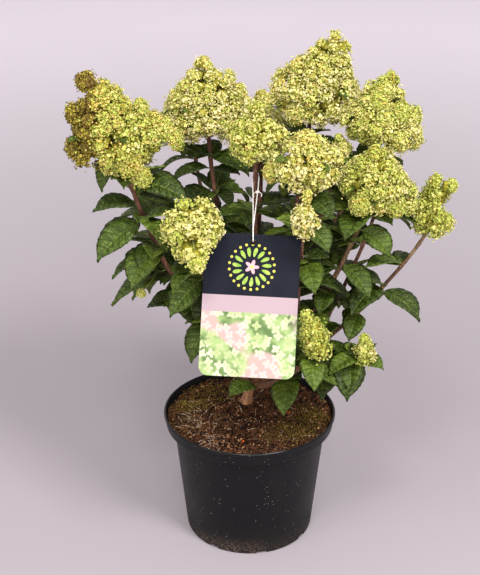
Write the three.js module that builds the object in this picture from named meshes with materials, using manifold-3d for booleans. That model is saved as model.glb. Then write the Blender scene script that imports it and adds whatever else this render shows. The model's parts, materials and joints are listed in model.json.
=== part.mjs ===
// Panicle hydrangea in a round nursery pot, with a hanging card label.
// Millimetres, +Z up. The origin is on the pot's underside at its centre, and -Y faces the viewer.
// A short woody trunk stands on the soil and carries bare stems. Each stem runs into a leafy shoot,
// and each leafy shoot ends in a cone-shaped flower head built of small rounded clusters.
import * as THREE from "three";
import { mergeVertices } from "three/addons/utils/BufferGeometryUtils.js";
import Module from "manifold-3d";

const wasm = await Module();
wasm.setup();

// Driving dimensions
const clear = 0.3; // open space between two neighbouring solids
const pot = {
  height: 150, rimRadius: 98.5, bandRadius: 96, bandFoot: 136, neckRadius: 87, neckHeight: 132,
  footRadius: 73.8, footRound: 3, wall: 2.2, floor: 6, facets: 32,
};
const drain = { count: 8, first: -79, width: 12, height: 4, from: 54, holeRadius: 4, holeCircle: 62 };
const soil = { edge: 141.5, shoulder: 144, crown: 146, flatRadius: 44, lump: 2.2, pitch: 0.2 };
const trunk = {
  foot: [-4, 22], lean: [7, -8], length: 38, neckRadius: 4.9, flare: 5, headSwell: 4.2, roots: 4, sides: 12,
};
const stem = { footRadius: 3.4, tipRadius: 2.1, sideShare: 0.8, outward: 0.12, seatRadius: 6.6, sides: 5 };
// The leaf's sizes are shares of its length, apart from sink and shared, which are in mm and mm3: how far
// its root is sunk past the twig's axis, and how much it may share with another leaf of its own twig.
// first and last are where the lowest and the highest pair stand on the leafy part of the stem.
const leaf = {
  halfWidth: 0.29, thickness: 0.024, fold: 0.3, sink: 1, shared: 6, rings: [[0.36, 1], [0.7, 0.8]],
  first: 0.04, last: 0.97, asides: [0, 18, -18, 36, -36, 54, -54],
};
const head = {
  sides: 12, rings: [0, 0.1, 0.27, 0.45, 0.64, 0.83], shoulder: 2.6, slope: 1.9, point: 1, foot: 0.74,
  top: 0.97, crest: 0.97, furrow: 0.8, uneven: 0.05,
  clusterShare: 0.34, clusterTaper: 0.12, smallest: 5, sink: 0.8,
};
const smallHead = { below: 28, sides: 8, rings: [0, 0.2, 0.5, 0.8] };
const label = {
  hole: [2, -88, 391], width: 95, length: 142, thickness: 1, lean: 27, roll: 3,
  holeRadius: 2.6, holeFromTop: 8, cornerRadius: 9,
};
const tie = { radius: 0.55, sides: 5, steps: 38, height: 441 };

// One entry for each shoot. from is the trunk or the shoot that it forks from, and at is how far along.
// base and tip are the ends of the flower head, wide is half its width and clusters how many stand out.
// bare is the share of the stem below the leaves, and blade is the length of the largest leaf.
const shoots = [
  {
    name: "left", from: "trunk", at: 0.8, bare: 0.36, pairs: 5, blade: 80, turn: 20,
    base: [-132, -32, 462], tip: [-161, -36, 550], wide: 47, clusters: 5,
    lobes: [[-171, -34, 508, 15], [-173, -34, 473, 15], [-161, -35, 540, 12], [-122, -62, 463, 16]],
  },
  {
    name: "back_left", from: "trunk", at: 1, bare: 0.46, pairs: 4, blade: 66, turn: 50,
    base: [-46, 45, 470], tip: [-49, 45, 547], wide: 50, clusters: 6,
    lobes: [[-87, 40, 468, 14]],
  },
  {
    name: "centre", from: "trunk", at: 1, bare: 0.46, pairs: 4, blade: 60, turn: 0,
    base: [5, -38, 473], tip: [6, -38, 517], wide: 35, clusters: 4,
    lobes: [[14, -41, 470, 13]],
  },
  {
    name: "top", from: "trunk", at: 1, bare: 0.46, pairs: 4, blade: 64, turn: 30,
    base: [67, 60, 490], tip: [92, 56, 573], wide: 54, clusters: 6,
    lobes: [[23, 46, 495, 15]],
  },
  {
    name: "right", from: "trunk", at: 0.95, bare: 0.38, pairs: 5, blade: 70, turn: 75,
    base: [124, -45, 427], tip: [124, -50, 480], wide: 40, clusters: 5,
    lobes: [[155, -42, 427, 15]],
  },
  {
    name: "far_right", from: "trunk", at: 0.72, bare: 0.38, pairs: 5, blade: 66, turn: 10,
    base: [191, -26, 387], tip: [190, -30, 441], wide: 25, clusters: 3,
    lobes: [[203, -30, 430, 9], [200, -30, 391, 11]],
  },
  {
    name: "front_left", from: "trunk", at: 0.75, bare: 0.42, pairs: 4, blade: 64, turn: 60,
    base: [-60, -94, 425], tip: [-51, -144, 385], wide: 36, clusters: 4,
  },
  {
    name: "back", from: "trunk", at: 0.9, bare: 0.42, pairs: 4, blade: 68, turn: 40,
    base: [14, 122, 424], tip: [14, 160, 478], wide: 38, clusters: 4,
  },
  {
    name: "low_front", from: "trunk", at: 0.7, bare: 0.4, pairs: 3, blade: 54, turn: 80,
    base: [67, -118, 290], tip: [53, -138, 337], wide: 20, clusters: 2, small: true,
  },
  {
    name: "behind_left", from: "back_left", at: 0.34, bare: 0.26, pairs: 3, blade: 62, turn: 15,
    base: [-67, 112, 450], tip: [-66, 140, 508], wide: 36, clusters: 4,
  },
  {
    name: "upper_right", from: "top", at: 0.4, bare: 0.3, pairs: 3, blade: 62, turn: 35,
    base: [133, 6, 472], tip: [143, 8, 538], wide: 43, clusters: 5,
    lobes: [[162, -5, 480, 13]],
  },
  {
    name: "behind_right", from: "back", at: 0.3, bare: 0.28, pairs: 4, blade: 64, turn: 55,
    base: [84, 122, 374], tip: [86, 152, 424], wide: 35, clusters: 4,
  },
  {
    name: "side_right", from: "far_right", at: 0.24, bare: 0.28, pairs: 4, blade: 62, turn: 70,
    base: [150, 84, 380], tip: [158, 104, 434], wide: 31, clusters: 4,
  },
  {
    name: "side_left", from: "left", at: 0.3, bare: 0.28, pairs: 4, blade: 62, turn: 5,
    base: [-132, 76, 424], tip: [-144, 90, 482], wide: 32, clusters: 4,
  },
  {
    name: "middle", from: "right", at: 0.3, bare: 0.3, pairs: 4, blade: 60, turn: 25,
    base: [54, -76, 461], tip: [53, -81, 502], wide: 40, clusters: 5,
    lobes: [[23, -80, 461, 12]],
  },
  {
    name: "front", from: "middle", at: 0.8, bare: 0.3, pairs: 1, blade: 44, turn: 85,
    base: [51, -113, 414], tip: [53, -120, 454], wide: 14, clusters: 2, small: true,
  },
  {
    name: "low_right", from: "far_right", at: 0.34, bare: 0.26, pairs: 3, blade: 52, turn: 45,
    base: [120, -85, 261], tip: [116, -90, 290], wide: 11, clusters: 1, small: true,
  },
  {
    name: "inner_right", from: "top", at: 0.44, bare: 0.34, pairs: 2, blade: 48, turn: 12,
    base: [97, -5, 453], tip: [90, -5, 476], wide: 11, clusters: 1, small: true,
  },
];

const material = (color, roughness) => new THREE.MeshStandardMaterial({ color, roughness, metalness: 0 });
const finish = {
  pot: material(0x1c1b1d, 0.45),
  soil: material(0x3d2c1c, 0.95),
  bark: material(0x6b4a36, 0.8),
  leaf: material(0x2f5220, 0.6),
  flower: material(0xc9c568, 0.75),
  card: material(0x2a2c38, 0.35),
  cord: material(0xe8e4da, 0.5),
};

const up = new THREE.Vector3(0, 0, 1);
const radians = THREE.MathUtils.degToRad;
const mix = THREE.MathUtils.lerp;
const goldenAngle = Math.PI * (3 - Math.sqrt(5));
const point = (p) => new THREE.Vector3(...p);

// A repeatable number from least to most for each whole number, so that every run grows the same plant.
function draw(n, least = 0, most = 1) {
  const wave = Math.sin(n * 12.9898 + 4.1414) * 43758.5453;
  return mix(least, most, wave - Math.floor(wave));
}

// A closed geometry as a solid. Only the positions count, so its doubled corners are merged first.
function solidOf(geometry) {
  const bare = new THREE.BufferGeometry().setAttribute("position", geometry.getAttribute("position"));
  const merged = mergeVertices(bare.setIndex(geometry.index), 1e-3);
  const vertProperties = new Float32Array(merged.getAttribute("position").array);
  const triVerts = new Uint32Array(merged.index.array);
  return new wasm.Manifold(new wasm.Mesh({ numProp: 3, vertProperties, triVerts }));
}

function geometryOf(solid) {
  const mesh = solid.getMesh();
  const geometry = new THREE.BufferGeometry();
  geometry.setAttribute("position", new THREE.BufferAttribute(new Float32Array(mesh.vertProperties), 3));
  return geometry.setIndex(new THREE.BufferAttribute(new Uint32Array(mesh.triVerts), 1));
}

const union = (solids) => solids.reduce((all, one) => all.add(one));
const largest = (solid) => solid.decompose().reduce((a, b) => (b.volume() > a.volume() ? b : a));

// Solids that already stand, each with its box, so that a new one can be tested against its neighbours.
const standing = new Map();
const stand = (name, solid) => standing.set(name, { solid, box: solid.boundingBox() });

function touches(solid, ...except) {
  const { min, max } = solid.boundingBox();
  return [...standing].some(([name, other]) => {
    if (except.includes(name)) return false;
    if ([0, 1, 2].some((k) => other.box.min[k] > max[k] || other.box.max[k] < min[k])) return false;
    return other.solid.intersect(solid).volume() > 0;
  });
}

// The pot: a turned wall and floor with a stepped rim, then a ring of channels under the floor, each with
// a hole up through it.
function potSolid() {
  const inner = pot.wall;
  const profile = [
    [0, 0], [pot.footRadius - pot.footRound, 0], [pot.footRadius - 0.9, 0.9], [pot.footRadius, pot.footRound],
    [pot.neckRadius, pot.neckHeight], [pot.bandRadius, pot.bandFoot], [pot.rimRadius, pot.height - 1.4],
    [pot.rimRadius - 1.2, pot.height], [pot.rimRadius - inner, pot.height - 0.6],
    [pot.bandRadius - inner, pot.bandFoot + 2.4], [pot.neckRadius - inner, pot.neckHeight + 2.4],
    [pot.footRadius - inner, pot.floor], [0, pot.floor],
  ];
  const turned = new THREE.LatheGeometry(profile.map(([r, z]) => new THREE.Vector2(r, z)), pot.facets);
  let solid = solidOf(turned.rotateX(Math.PI / 2));
  for (let i = 0; i < drain.count; i += 1) {
    const angle = radians(drain.first + (360 / drain.count) * i);
    const reach = pot.footRadius + 5 - drain.from;
    const channel = new THREE.BoxGeometry(reach, drain.width, drain.height * 2);
    channel.translate(drain.from + reach / 2, 0, 0).rotateZ(angle);
    const hole = new THREE.CylinderGeometry(drain.holeRadius, drain.holeRadius, pot.floor * 3, 8);
    hole.rotateX(Math.PI / 2).translate(drain.holeCircle, 0, 0).rotateZ(angle);
    solid = solid.subtract(solidOf(channel)).subtract(solidOf(hole));
  }
  return solid;
}

// The soil fills the pot clear of its wall. Its top is a low dome, uneven outside the flat round the trunk.
function soilSolid() {
  const wall = pot.wall + clear;
  const rise = (soil.edge - pot.bandFoot) / (pot.height - pot.bandFoot);
  const profile = [
    [0, pot.floor + clear], [pot.footRadius - wall, pot.floor + clear],
    [pot.neckRadius - wall, pot.neckHeight + 2.4], [pot.bandRadius - wall, pot.bandFoot + 2.4 + clear],
    [mix(pot.bandRadius, pot.rimRadius, rise) - wall, soil.edge], [82, soil.shoulder], [64, soil.crown - 0.6],
    [soil.flatRadius, soil.crown], [0, soil.crown],
  ];
  const turned = new THREE.LatheGeometry(profile.map(([r, z]) => new THREE.Vector2(r, z)), pot.facets);
  const place = turned.rotateX(Math.PI / 2).getAttribute("position");
  for (let i = 0; i < place.count; i += 1) {
    const [x, y, z] = [place.getX(i), place.getY(i), place.getZ(i)];
    const radius = Math.hypot(x, y);
    if (z < soil.edge + 1 || radius < soil.flatRadius + 5) continue;
    const wave = Math.sin(x * soil.pitch + y * 0.08) + Math.cos(y * soil.pitch - x * 0.11);
    place.setZ(i, z + (soil.lump / 4) * wave);
  }
  return solidOf(turned);
}

// A limb: a cylinder bent along a path from one share of it to another, its radius worked out all along.
function limbSolid(path, from, to, radiusAt, sides = stem.sides, steps = 4) {
  const geometry = new THREE.CylinderGeometry(1, 1, 1, sides, steps);
  const place = geometry.getAttribute("position");
  for (let i = 0; i < place.count; i += 1) {
    const [x, z] = [place.getX(i), place.getZ(i)];
    const along = mix(from, to, place.getY(i) + 0.5);
    const ahead = path.getTangent(THREE.MathUtils.clamp(along, 0, 1));
    const side = new THREE.Vector3(0.31, 0.95, 0.07).cross(ahead).normalize();
    const other = new THREE.Vector3().crossVectors(side, ahead);
    const radius = radiusAt(along, Math.atan2(z, x));
    const spot = path.getPoint(along).addScaledVector(side, x * radius).addScaledVector(other, z * radius);
    place.setXYZ(i, spot.x, spot.y, spot.z);
  }
  return solidOf(geometry);
}

// The trunk: a short leaning limb with spread roots at its foot and a swollen head, cut flat on the soil.
const ground = soil.crown + clear;
const trunkFoot = point([...trunk.foot, ground]);
const trunkTop = point([trunk.foot[0] + trunk.lean[0], trunk.foot[1] + trunk.lean[1], ground + trunk.length]);
const trunkPath = new THREE.LineCurve3(trunkFoot, trunkTop);

function trunkRadius(along, turn) {
  const root = Math.exp(-6 * along) * trunk.flare * (1 + 0.3 * Math.cos(trunk.roots * turn));
  const swell = Math.max(0, (along - 0.5) / 0.5) ** 1.6 * trunk.headSwell;
  return trunk.neckRadius + root + swell;
}

function trunkSolid(extra = 0) {
  const grown = (along, turn) => trunkRadius(Math.max(along, 0), turn) + extra;
  const whole = limbSolid(trunkPath, -0.08, 1 + extra / trunk.length, grown, trunk.sides, 9);
  const below = new THREE.BoxGeometry(80, 80, 20).translate(...trunk.foot, ground - extra - 10);
  return whole.subtract(solidOf(below));
}

// A shoot's path leaves its fork outwards and then climbs to the foot of the flower head.
function growPath(shoot) {
  const end = point(shoot.base);
  let start;
  if (shoot.from === "trunk") {
    start = trunkPath.getPoint(shoot.at);
    const away = new THREE.Vector3(end.x - start.x, end.y - start.y, 0).normalize();
    start.addScaledVector(away, stem.seatRadius);
  } else start = paths.get(shoot.from).getPoint(shoot.at);
  const out = 0.5 + stem.outward;
  const bend = start.clone().lerp(end, out).setZ(mix(start.z, end.z, 1 - out));
  return new THREE.QuadraticBezierCurve3(start, bend, end);
}

const paths = new Map();
for (const shoot of shoots) paths.set(shoot.name, growPath(shoot));

function stemRadius(shoot) {
  const share = shoot.from === "trunk" ? 1 : stem.sideShare;
  return (along) => share * mix(stem.footRadius, stem.tipRadius, Math.max(along, 0) ** 0.7);
}

// The whole limb of a shoot, wider and longer by the clear space, to cut its neighbours back with.
function grownLimb(shoot) {
  const radius = stemRadius(shoot);
  return limbSolid(paths.get(shoot.name), 0, 1.002, (along) => radius(along) + clear, stem.sides, 8);
}

// A stem with no leaves, cut back from the trunk, from the limb that it forks from and from older stems.
function stemSolid(shoot, older) {
  const whole = limbSolid(paths.get(shoot.name), 0, shoot.bare, stemRadius(shoot));
  return largest(older.reduce((left, limb) => left.subtract(limb), whole));
}

// A leaf: an upright edge at its root, rings of four points and a tip, arched and folded along its middle.
// rise is the angle at which it leaves the twig, bend how far it arches over, extra how much it is grown.
function leafSolid({ root, out, rise, bend, length }, extra = 0) {
  const side = new THREE.Vector3().crossVectors(out, up);
  const half = (leaf.thickness * length) / 2 + extra;
  const wide = leaf.halfWidth * length + extra;
  const frame = (share) => {
    const turned = rise - bend * share;
    const reach = ((Math.sin(rise) - Math.sin(turned)) * length) / bend;
    const lift = ((Math.cos(turned) - Math.cos(rise)) * length) / bend;
    const middle = root.clone().addScaledVector(out, reach - leaf.sink).addScaledVector(up, lift);
    const normal = up.clone().multiplyScalar(Math.cos(turned)).addScaledVector(out, -Math.sin(turned));
    const face = (sign) => middle.clone().addScaledVector(normal, sign * half);
    const edge = (reach) =>
      middle.clone().addScaledVector(side, reach).addScaledVector(normal, leaf.fold * Math.abs(reach));
    return { middle, face, edge };
  };
  const rootEdge = frame(0);
  const points = [rootEdge.face(1), rootEdge.face(-1)];
  for (const [share, part] of leaf.rings) {
    const { face, edge } = frame(share);
    points.push(face(1), edge(wide * part), face(-1), edge(-wide * part));
  }
  points.push(frame(1 + extra / length).middle);
  const faces = [0, 3, 2, 0, 1, 3, 1, 4, 3, 1, 5, 4, 1, 0, 5, 0, 2, 5];
  for (const k of [0, 1, 2, 3]) {
    const [a, b] = [2 + k, 2 + ((k + 1) % 4)];
    faces.push(a, b, a + 4, b, b + 4, a + 4, a + 4, b + 4, 10);
  }
  return solidOf(new THREE.BufferGeometry().setFromPoints(points).setIndex(faces));
}

// The leaves of a shoot: opposite pairs, each pair a quarter turn from the one below, smaller upwards.
// A leaf that would touch something that stands is turned aside, and left out if no turn frees it.
function leafSolids(shoot, index) {
  const path = paths.get(shoot.name);
  const made = [];
  for (let pair = 0; pair < shoot.pairs; pair += 1) {
    const high = (pair + 0.45) / shoot.pairs;
    for (const twin of [0, 1]) {
      const seed = 100 * index + 10 * pair + twin;
      const length = shoot.blade * (1 - 0.15 * high) * draw(seed, 0.9, 1.08);
      const rise = mix(0.05, 0.5, high) + draw(seed + 3, -0.12, 0.12);
      const bend = draw(seed + 5, 1.2, 1.6);
      const heading = shoot.turn + 90 * pair + 180 * twin + draw(seed + 7, -14, 14);
      for (const aside of leaf.asides) {
        const angle = radians(heading + aside);
        const out = new THREE.Vector3(Math.cos(angle), Math.sin(angle), 0);
        const root = path.getPoint(mix(shoot.bare + leaf.first, leaf.last, high));
        const plan = { root, out, rise, bend, length };
        const solid = leafSolid(plan);
        if (touches(leafSolid(plan, clear), `twig_${shoot.name}`)) continue;
        if (made.some((other) => other.intersect(solid).volume() > leaf.shared)) continue;
        made.push(solid);
        break;
      }
    }
  }
  return made;
}

// A flower head: a turned core whose surface rises and falls like packed blossom, with larger clusters
// that wind up it by the golden angle. A cluster that would touch something that stands is left out.
function headSolid(shoot, index) {
  const [base, tip] = [point(shoot.base), point(shoot.tip)];
  const axis = tip.clone().sub(base);
  const length = axis.length();
  axis.normalize();
  const turned = new THREE.Quaternion().setFromUnitVectors(new THREE.Vector3(0, 1, 0), axis);
  const swell = (t) => Math.min(1, head.foot + head.shoulder * t);
  const outline = (t) => shoot.wide * swell(t) * (1 - t ** head.slope) ** head.point;
  const { sides, rings } = shoot.wide < smallHead.below ? smallHead : head;
  const profile = [[0, 0], ...rings.map((t) => [outline(t), t * length]), [0, length * head.top]];
  const core = new THREE.LatheGeometry(profile.map(([r, y]) => new THREE.Vector2(r, y)), sides);
  const place = core.getAttribute("position");
  for (let i = 0; i < place.count; i += 1) {
    const [column, row] = [Math.floor(i / profile.length) % sides, i % profile.length];
    const crested = (column + row) % 2 === 0 ? head.crest : head.furrow;
    const share = crested + draw(300 * index + 12 * column + row, -head.uneven, head.uneven);
    place.setXYZ(i, place.getX(i) * share, place.getY(i), place.getZ(i) * share);
  }
  const pieces = [solidOf(core.applyQuaternion(turned).translate(...base))];
  const cluster = (centre, radius) => {
    const spin = centre.x + centre.z;
    const ball = (size) => {
      const form = new THREE.IcosahedronGeometry(size).rotateX(spin).rotateZ(spin);
      return solidOf(form.translate(...centre));
    };
    if (!touches(ball(radius + 2 * clear), `twig_${shoot.name}`)) pieces.push(ball(radius));
  };
  for (let i = 0; i < shoot.clusters; i += 1) {
    const t = ((i + 0.5) / shoot.clusters) * head.top;
    const share = (head.clusterShare - head.clusterTaper * t) * draw(60 * index + i, 0.88, 1.12);
    const radius = Math.max(head.smallest, shoot.wide * share);
    const angle = i * goldenAngle + index;
    const spin = new THREE.Vector3(Math.cos(angle), 0, Math.sin(angle)).applyQuaternion(turned);
    const away = Math.max(0, outline(t) - radius * head.sink);
    const spot = base.clone().addScaledVector(axis, Math.min(t * length, length - radius));
    cluster(spot.addScaledVector(spin, away), radius);
  }
  for (const [x, y, z, radius] of shoot.lobes ?? []) cluster(point([x, y, z]), radius);
  return pieces;
}

// The label: a card with two round corners below and a hole at its top, hung by the hole and leaning out.
function labelSolid() {
  const [half, top, corner] = [label.width / 2, label.holeFromTop, label.cornerRadius];
  const foot = top - label.length;
  const card = new THREE.Shape();
  card.moveTo(-half, top).lineTo(-half, foot + corner);
  card.absarc(-half + corner, foot + corner, corner, Math.PI, 1.5 * Math.PI, false);
  card.absarc(half - corner, foot + corner, corner, -0.5 * Math.PI, 0, false);
  card.lineTo(half, top);
  card.holes.push(new THREE.Path().absarc(0, 0, label.holeRadius, 0, 2 * Math.PI, false));
  const settings = { depth: label.thickness, bevelEnabled: false, curveSegments: 5 };
  const geometry = new THREE.ExtrudeGeometry(card, settings);
  geometry.translate(0, 0, -label.thickness / 2).rotateZ(radians(-label.roll));
  return solidOf(geometry.rotateX(radians(90 - label.lean)).translate(...label.hole));
}

// The tie: a closed loop of cord through the label's hole and round the middle shoot.
function tieSolid() {
  const hole = point(label.hole);
  const lean = radians(label.lean);
  const raised = new THREE.Vector3(0, Math.sin(lean), Math.cos(lean));
  const facing = new THREE.Vector3(0, -Math.cos(lean), Math.sin(lean));
  const near = (front, above) => hole.clone().addScaledVector(facing, front).addScaledVector(raised, above);
  const path = paths.get("centre");
  const along = (tie.height - path.v0.z) / (path.v2.z - path.v0.z);
  const twig = path.getPoint(along + 0.02);
  const round = (dx, dy, dz) => new THREE.Vector3(twig.x + dx, twig.y + dy, twig.z + dz);
  const route = [
    near(0, 0.9), near(2.2, 3.2), near(2.3, 8.5), near(-0.5, 13), near(0, 13).lerp(round(3.2, -6, -4), 0.5),
    round(3.4, -2.5, -0.8), round(3, 2.4, 1), round(-0.4, 3.6, 1.4), round(-3.4, 1.6, 0.8),
    round(-3, -4, -2.5),
    near(-4, 6).lerp(round(-2.4, -5, -4), 0.5), near(-4.5, 5), near(-2.6, 1.4),
  ];
  const loop = new THREE.CatmullRomCurve3(route, true, "centripetal");
  const frames = loop.computeFrenetFrames(tie.steps, true);
  const geometry = new THREE.TorusGeometry(1, 0.5, tie.sides, tie.steps);
  const place = geometry.getAttribute("position");
  for (let i = 0; i < place.count; i += 1) {
    const step = (i % (tie.steps + 1)) % tie.steps;
    const angle = (Math.floor(i / (tie.steps + 1)) / tie.sides) * 2 * Math.PI;
    const spot = loop.getPointAt(step / tie.steps);
    spot.addScaledVector(frames.normals[step], tie.radius * Math.cos(angle));
    spot.addScaledVector(frames.binormals[step], -tie.radius * Math.sin(angle));
    place.setXYZ(i, spot.x, spot.y, spot.z);
  }
  return solidOf(geometry);
}

const plant = new THREE.Group();
function add(name, solid, look) {
  const mesh = new THREE.Mesh(geometryOf(solid), look.clone());
  mesh.name = name;
  plant.add(mesh);
  stand(name, solid);
}

add("pot", potSolid(), finish.pot);
add("soil", soilSolid(), finish.soil);
add("trunk", trunkSolid(), finish.bark);

// Stems first, then the limbs that will carry leaves, so that every leaf and flower can keep clear of them.
const cutters = [trunkSolid(clear)];
for (const shoot of shoots) {
  add(`stem_${shoot.name}`, stemSolid(shoot, cutters), finish.bark);
  cutters.push(grownLimb(shoot));
}
for (const shoot of shoots) {
  const length = paths.get(shoot.name).getLength();
  const twig = limbSolid(paths.get(shoot.name), shoot.bare + clear / length, 1, stemRadius(shoot));
  stand(`twig_${shoot.name}`, twig);
}
add("label", labelSolid(), finish.card);
add("label_tie", tieSolid(), finish.cord);

// Flower heads, each cut back from the twig that it sits on, then the leaves.
const heads = new Map();
shoots.forEach((shoot, index) => {
  const whole = largest(union(headSolid(shoot, index)));
  const seated = shoot.small ? whole : largest(whole.subtract(grownLimb(shoot)));
  heads.set(shoot.name, seated);
  if (shoot.small) stand(`flowers_${shoot.name}`, seated);
  else add(`flowers_${shoot.name}`, seated, finish.flower);
});
shoots.forEach((shoot, index) => {
  const twig = standing.get(`twig_${shoot.name}`).solid;
  const mass = union([twig, ...leafSolids(shoot, index)]);
  standing.delete(`twig_${shoot.name}`);
  if (shoot.small) {
    standing.delete(`flowers_${shoot.name}`);
    add(`shoot_${shoot.name}`, largest(mass.add(heads.get(shoot.name))), finish.leaf);
  } else add(`leaves_${shoot.name}`, largest(mass), finish.leaf);
});

export default plant;
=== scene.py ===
import json
import math

import bpy
import numpy as np
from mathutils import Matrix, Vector

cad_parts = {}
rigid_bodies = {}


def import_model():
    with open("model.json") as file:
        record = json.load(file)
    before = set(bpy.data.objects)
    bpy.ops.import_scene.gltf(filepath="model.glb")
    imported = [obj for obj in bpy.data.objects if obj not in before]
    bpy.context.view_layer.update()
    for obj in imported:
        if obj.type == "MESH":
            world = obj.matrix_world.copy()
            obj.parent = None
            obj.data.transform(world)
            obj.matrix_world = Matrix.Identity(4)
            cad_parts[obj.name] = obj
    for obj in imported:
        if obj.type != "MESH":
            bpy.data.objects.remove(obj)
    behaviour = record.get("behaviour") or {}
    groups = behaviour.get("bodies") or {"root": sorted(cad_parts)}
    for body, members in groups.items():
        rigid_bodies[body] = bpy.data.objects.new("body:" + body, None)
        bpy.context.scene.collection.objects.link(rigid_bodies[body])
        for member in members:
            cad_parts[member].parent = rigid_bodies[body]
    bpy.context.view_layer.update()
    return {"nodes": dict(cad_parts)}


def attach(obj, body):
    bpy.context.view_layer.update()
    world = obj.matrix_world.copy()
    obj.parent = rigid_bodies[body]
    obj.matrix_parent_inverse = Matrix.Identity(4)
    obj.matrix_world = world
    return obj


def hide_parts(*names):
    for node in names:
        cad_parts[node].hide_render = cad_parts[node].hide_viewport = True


# Potted panicle hydrangea. Metres, +Z up, -Y to the front, the pot's underside on Z = 0.

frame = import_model()
goldenAngle = math.pi * (3 - math.sqrt(5))
mm = 0.001
print("frame loaded:", len(frame["nodes"]), "nodes")


# Camera, light and stage

shot = {
    "place": (-0.011, -1.130, 0.810),
    "pitchDown": 24.2,      # degrees below the horizon
    "lens": 70.75,          # for a 36 mm sensor along the picture's long side
}
studio = {
    "air": (0.93, 0.90, 0.93),
    "airStrength": 0.91,
    "lamps": {              # name: place, side of the soft box, watts
        "softRight": ((0.95, -1.25, 2.0), 0.6, 52),
        "softLeft": ((-1.3, -1.1, 1.5), 0.8, 12),
        "softFront": ((-0.3, -1.35, 2.2), 0.45, 22),
        "softCamera": ((0.15, -1.4, 0.75), 0.8, 9),
    },
    "aim": (0.0, 0.0, 0.3),
    "floorSize": 24.0,
}


def link(thing):
    bpy.context.scene.collection.objects.link(thing)
    return thing


def makeCamera():
    lens = bpy.data.cameras.new("camera")
    lens.lens = shot["lens"]
    lens.clip_end = 60
    camera = link(bpy.data.objects.new("camera", lens))
    camera.location = shot["place"]
    camera.rotation_euler = (math.radians(90 - shot["pitchDown"]), 0, 0)
    bpy.context.scene.camera = camera


def makeLamps():
    for name, (place, side, watts) in studio["lamps"].items():
        lamp = bpy.data.lights.new(name, "AREA")
        lamp.size = side
        lamp.energy = watts
        holder = link(bpy.data.objects.new(name, lamp))
        holder.location = place
        toAim = Vector(studio["aim"]) - Vector(place)
        holder.rotation_euler = toAim.to_track_quat("-Z", "Y").to_euler()
    world = bpy.data.worlds.new("air")
    world.use_nodes = True
    sky = world.node_tree.nodes["Background"]
    sky.inputs["Color"].default_value = (*studio["air"], 1)
    sky.inputs["Strength"].default_value = studio["airStrength"]
    bpy.context.scene.world = world
    bpy.context.scene.view_settings.view_transform = "Standard"


# Shader sockets as Python values

class Wire:
    # one output socket: + - * / and powers on wires and numbers add Math nodes

    def __init__(self, tree, socket):
        self.tree, self.socket = tree, socket

    def node(self, kind, settings=None, inputs=None, out=0):
        made = self.tree.nodes.new(kind)
        for name, value in (settings or {}).items():
            setattr(made, name, value)
        for name, value in (inputs or {}).items():
            socket = made.inputs[name]
            if isinstance(value, Wire):
                self.tree.links.new(value.socket, socket)
            else:
                socket.default_value = value
        return Wire(self.tree, made.outputs[out])

    def maths(self, operation, other, swapped=False):
        pair = (other, self) if swapped else (self, other)
        return self.node("ShaderNodeMath", {"operation": operation}, {0: pair[0], 1: pair[1]})

    def __add__(self, other):
        return self.maths("ADD", other)

    def __radd__(self, other):
        return self.maths("ADD", other, True)

    def __sub__(self, other):
        return self.maths("SUBTRACT", other)

    def __rsub__(self, other):
        return self.maths("SUBTRACT", other, True)

    def __mul__(self, other):
        return self.maths("MULTIPLY", other)

    def __rmul__(self, other):
        return self.maths("MULTIPLY", other, True)

    def __truediv__(self, other):
        return self.maths("DIVIDE", other)

    def __pow__(self, other):
        return self.maths("POWER", other)

    def step(self, low, high):
        # 0 below low, 1 above high, smooth between them
        settings = {"interpolation_type": "SMOOTHSTEP"}
        return self.node("ShaderNodeMapRange", settings, {"Value": self, "From Min": low, "From Max": high})

    def tint(self, first, second):
        # a colour: first where this is 0, second where it is 1
        values = {"Factor": self, 6: paint(first), 7: paint(second)}
        return self.node("ShaderNodeMix", {"data_type": "RGBA"}, values, out=2)

    def part(self, axis):
        return self.node("ShaderNodeSeparateXYZ", {}, {0: self}, out="XYZ".index(axis))


def paint(colour):
    # 8-bit screen colour to linear light, as a socket takes it
    if isinstance(colour, Wire):
        return colour
    share = np.array(colour) / 255
    linear = np.where(share < 0.04045, share / 12.92, ((share + 0.055) / 1.055) ** 2.4)
    return (*[float(x) for x in linear], 1.0)


def newFinish(name, roughness=0.6, coordinates="Object", **fixed):
    # an empty material: gives it, a wire on its coordinates and a call that plugs the shader's sockets
    material = bpy.data.materials.new(name)
    material.use_nodes = True
    tree = material.node_tree
    shader = tree.nodes["Principled BSDF"]
    shader.inputs["Roughness"].default_value = roughness
    for socket, value in fixed.items():
        shader.inputs[socket.replace("_", " ")].default_value = value
    where = Wire(tree, tree.nodes.new("ShaderNodeTexCoord").outputs[coordinates])

    def plug(**sockets):
        for socket, value in sockets.items():
            tree.links.new(value.socket, shader.inputs[socket.replace("_", " ")])
    return material, where, plug


def noise(where, scale, detail=2.0, roughness=0.5, stretch=(1, 1, 1)):
    mapped = where.node("ShaderNodeMapping", {}, {"Vector": where, "Scale": stretch})
    values = {"Vector": mapped, "Scale": scale, "Detail": detail, "Roughness": roughness}
    return where.node("ShaderNodeTexNoise", {}, values)


def bump(height, distance, strength=1.0):
    return height.node("ShaderNodeBump", {}, {"Height": height, "Distance": distance, "Strength": strength})


def mottledFinish(name, roughness, scale, dark, light, **fixed):
    # one colour that drifts into another over small patches
    material, where, plug = newFinish(name, roughness, **fixed)
    plug(Base_Color=noise(where, scale).step(0.3, 0.7).tint(dark, light))
    return material


# Numbers, vectors and meshes

def draw(n, least=0.0, most=1.0):
    # a repeatable number from least to most for each whole number
    wave = np.sin(np.asarray(n) * 12.9898 + 4.1414) * 43758.5453
    return least + (most - least) * (wave - np.floor(wave))


def mix(a, b, t):
    return a + (b - a) * t


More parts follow.
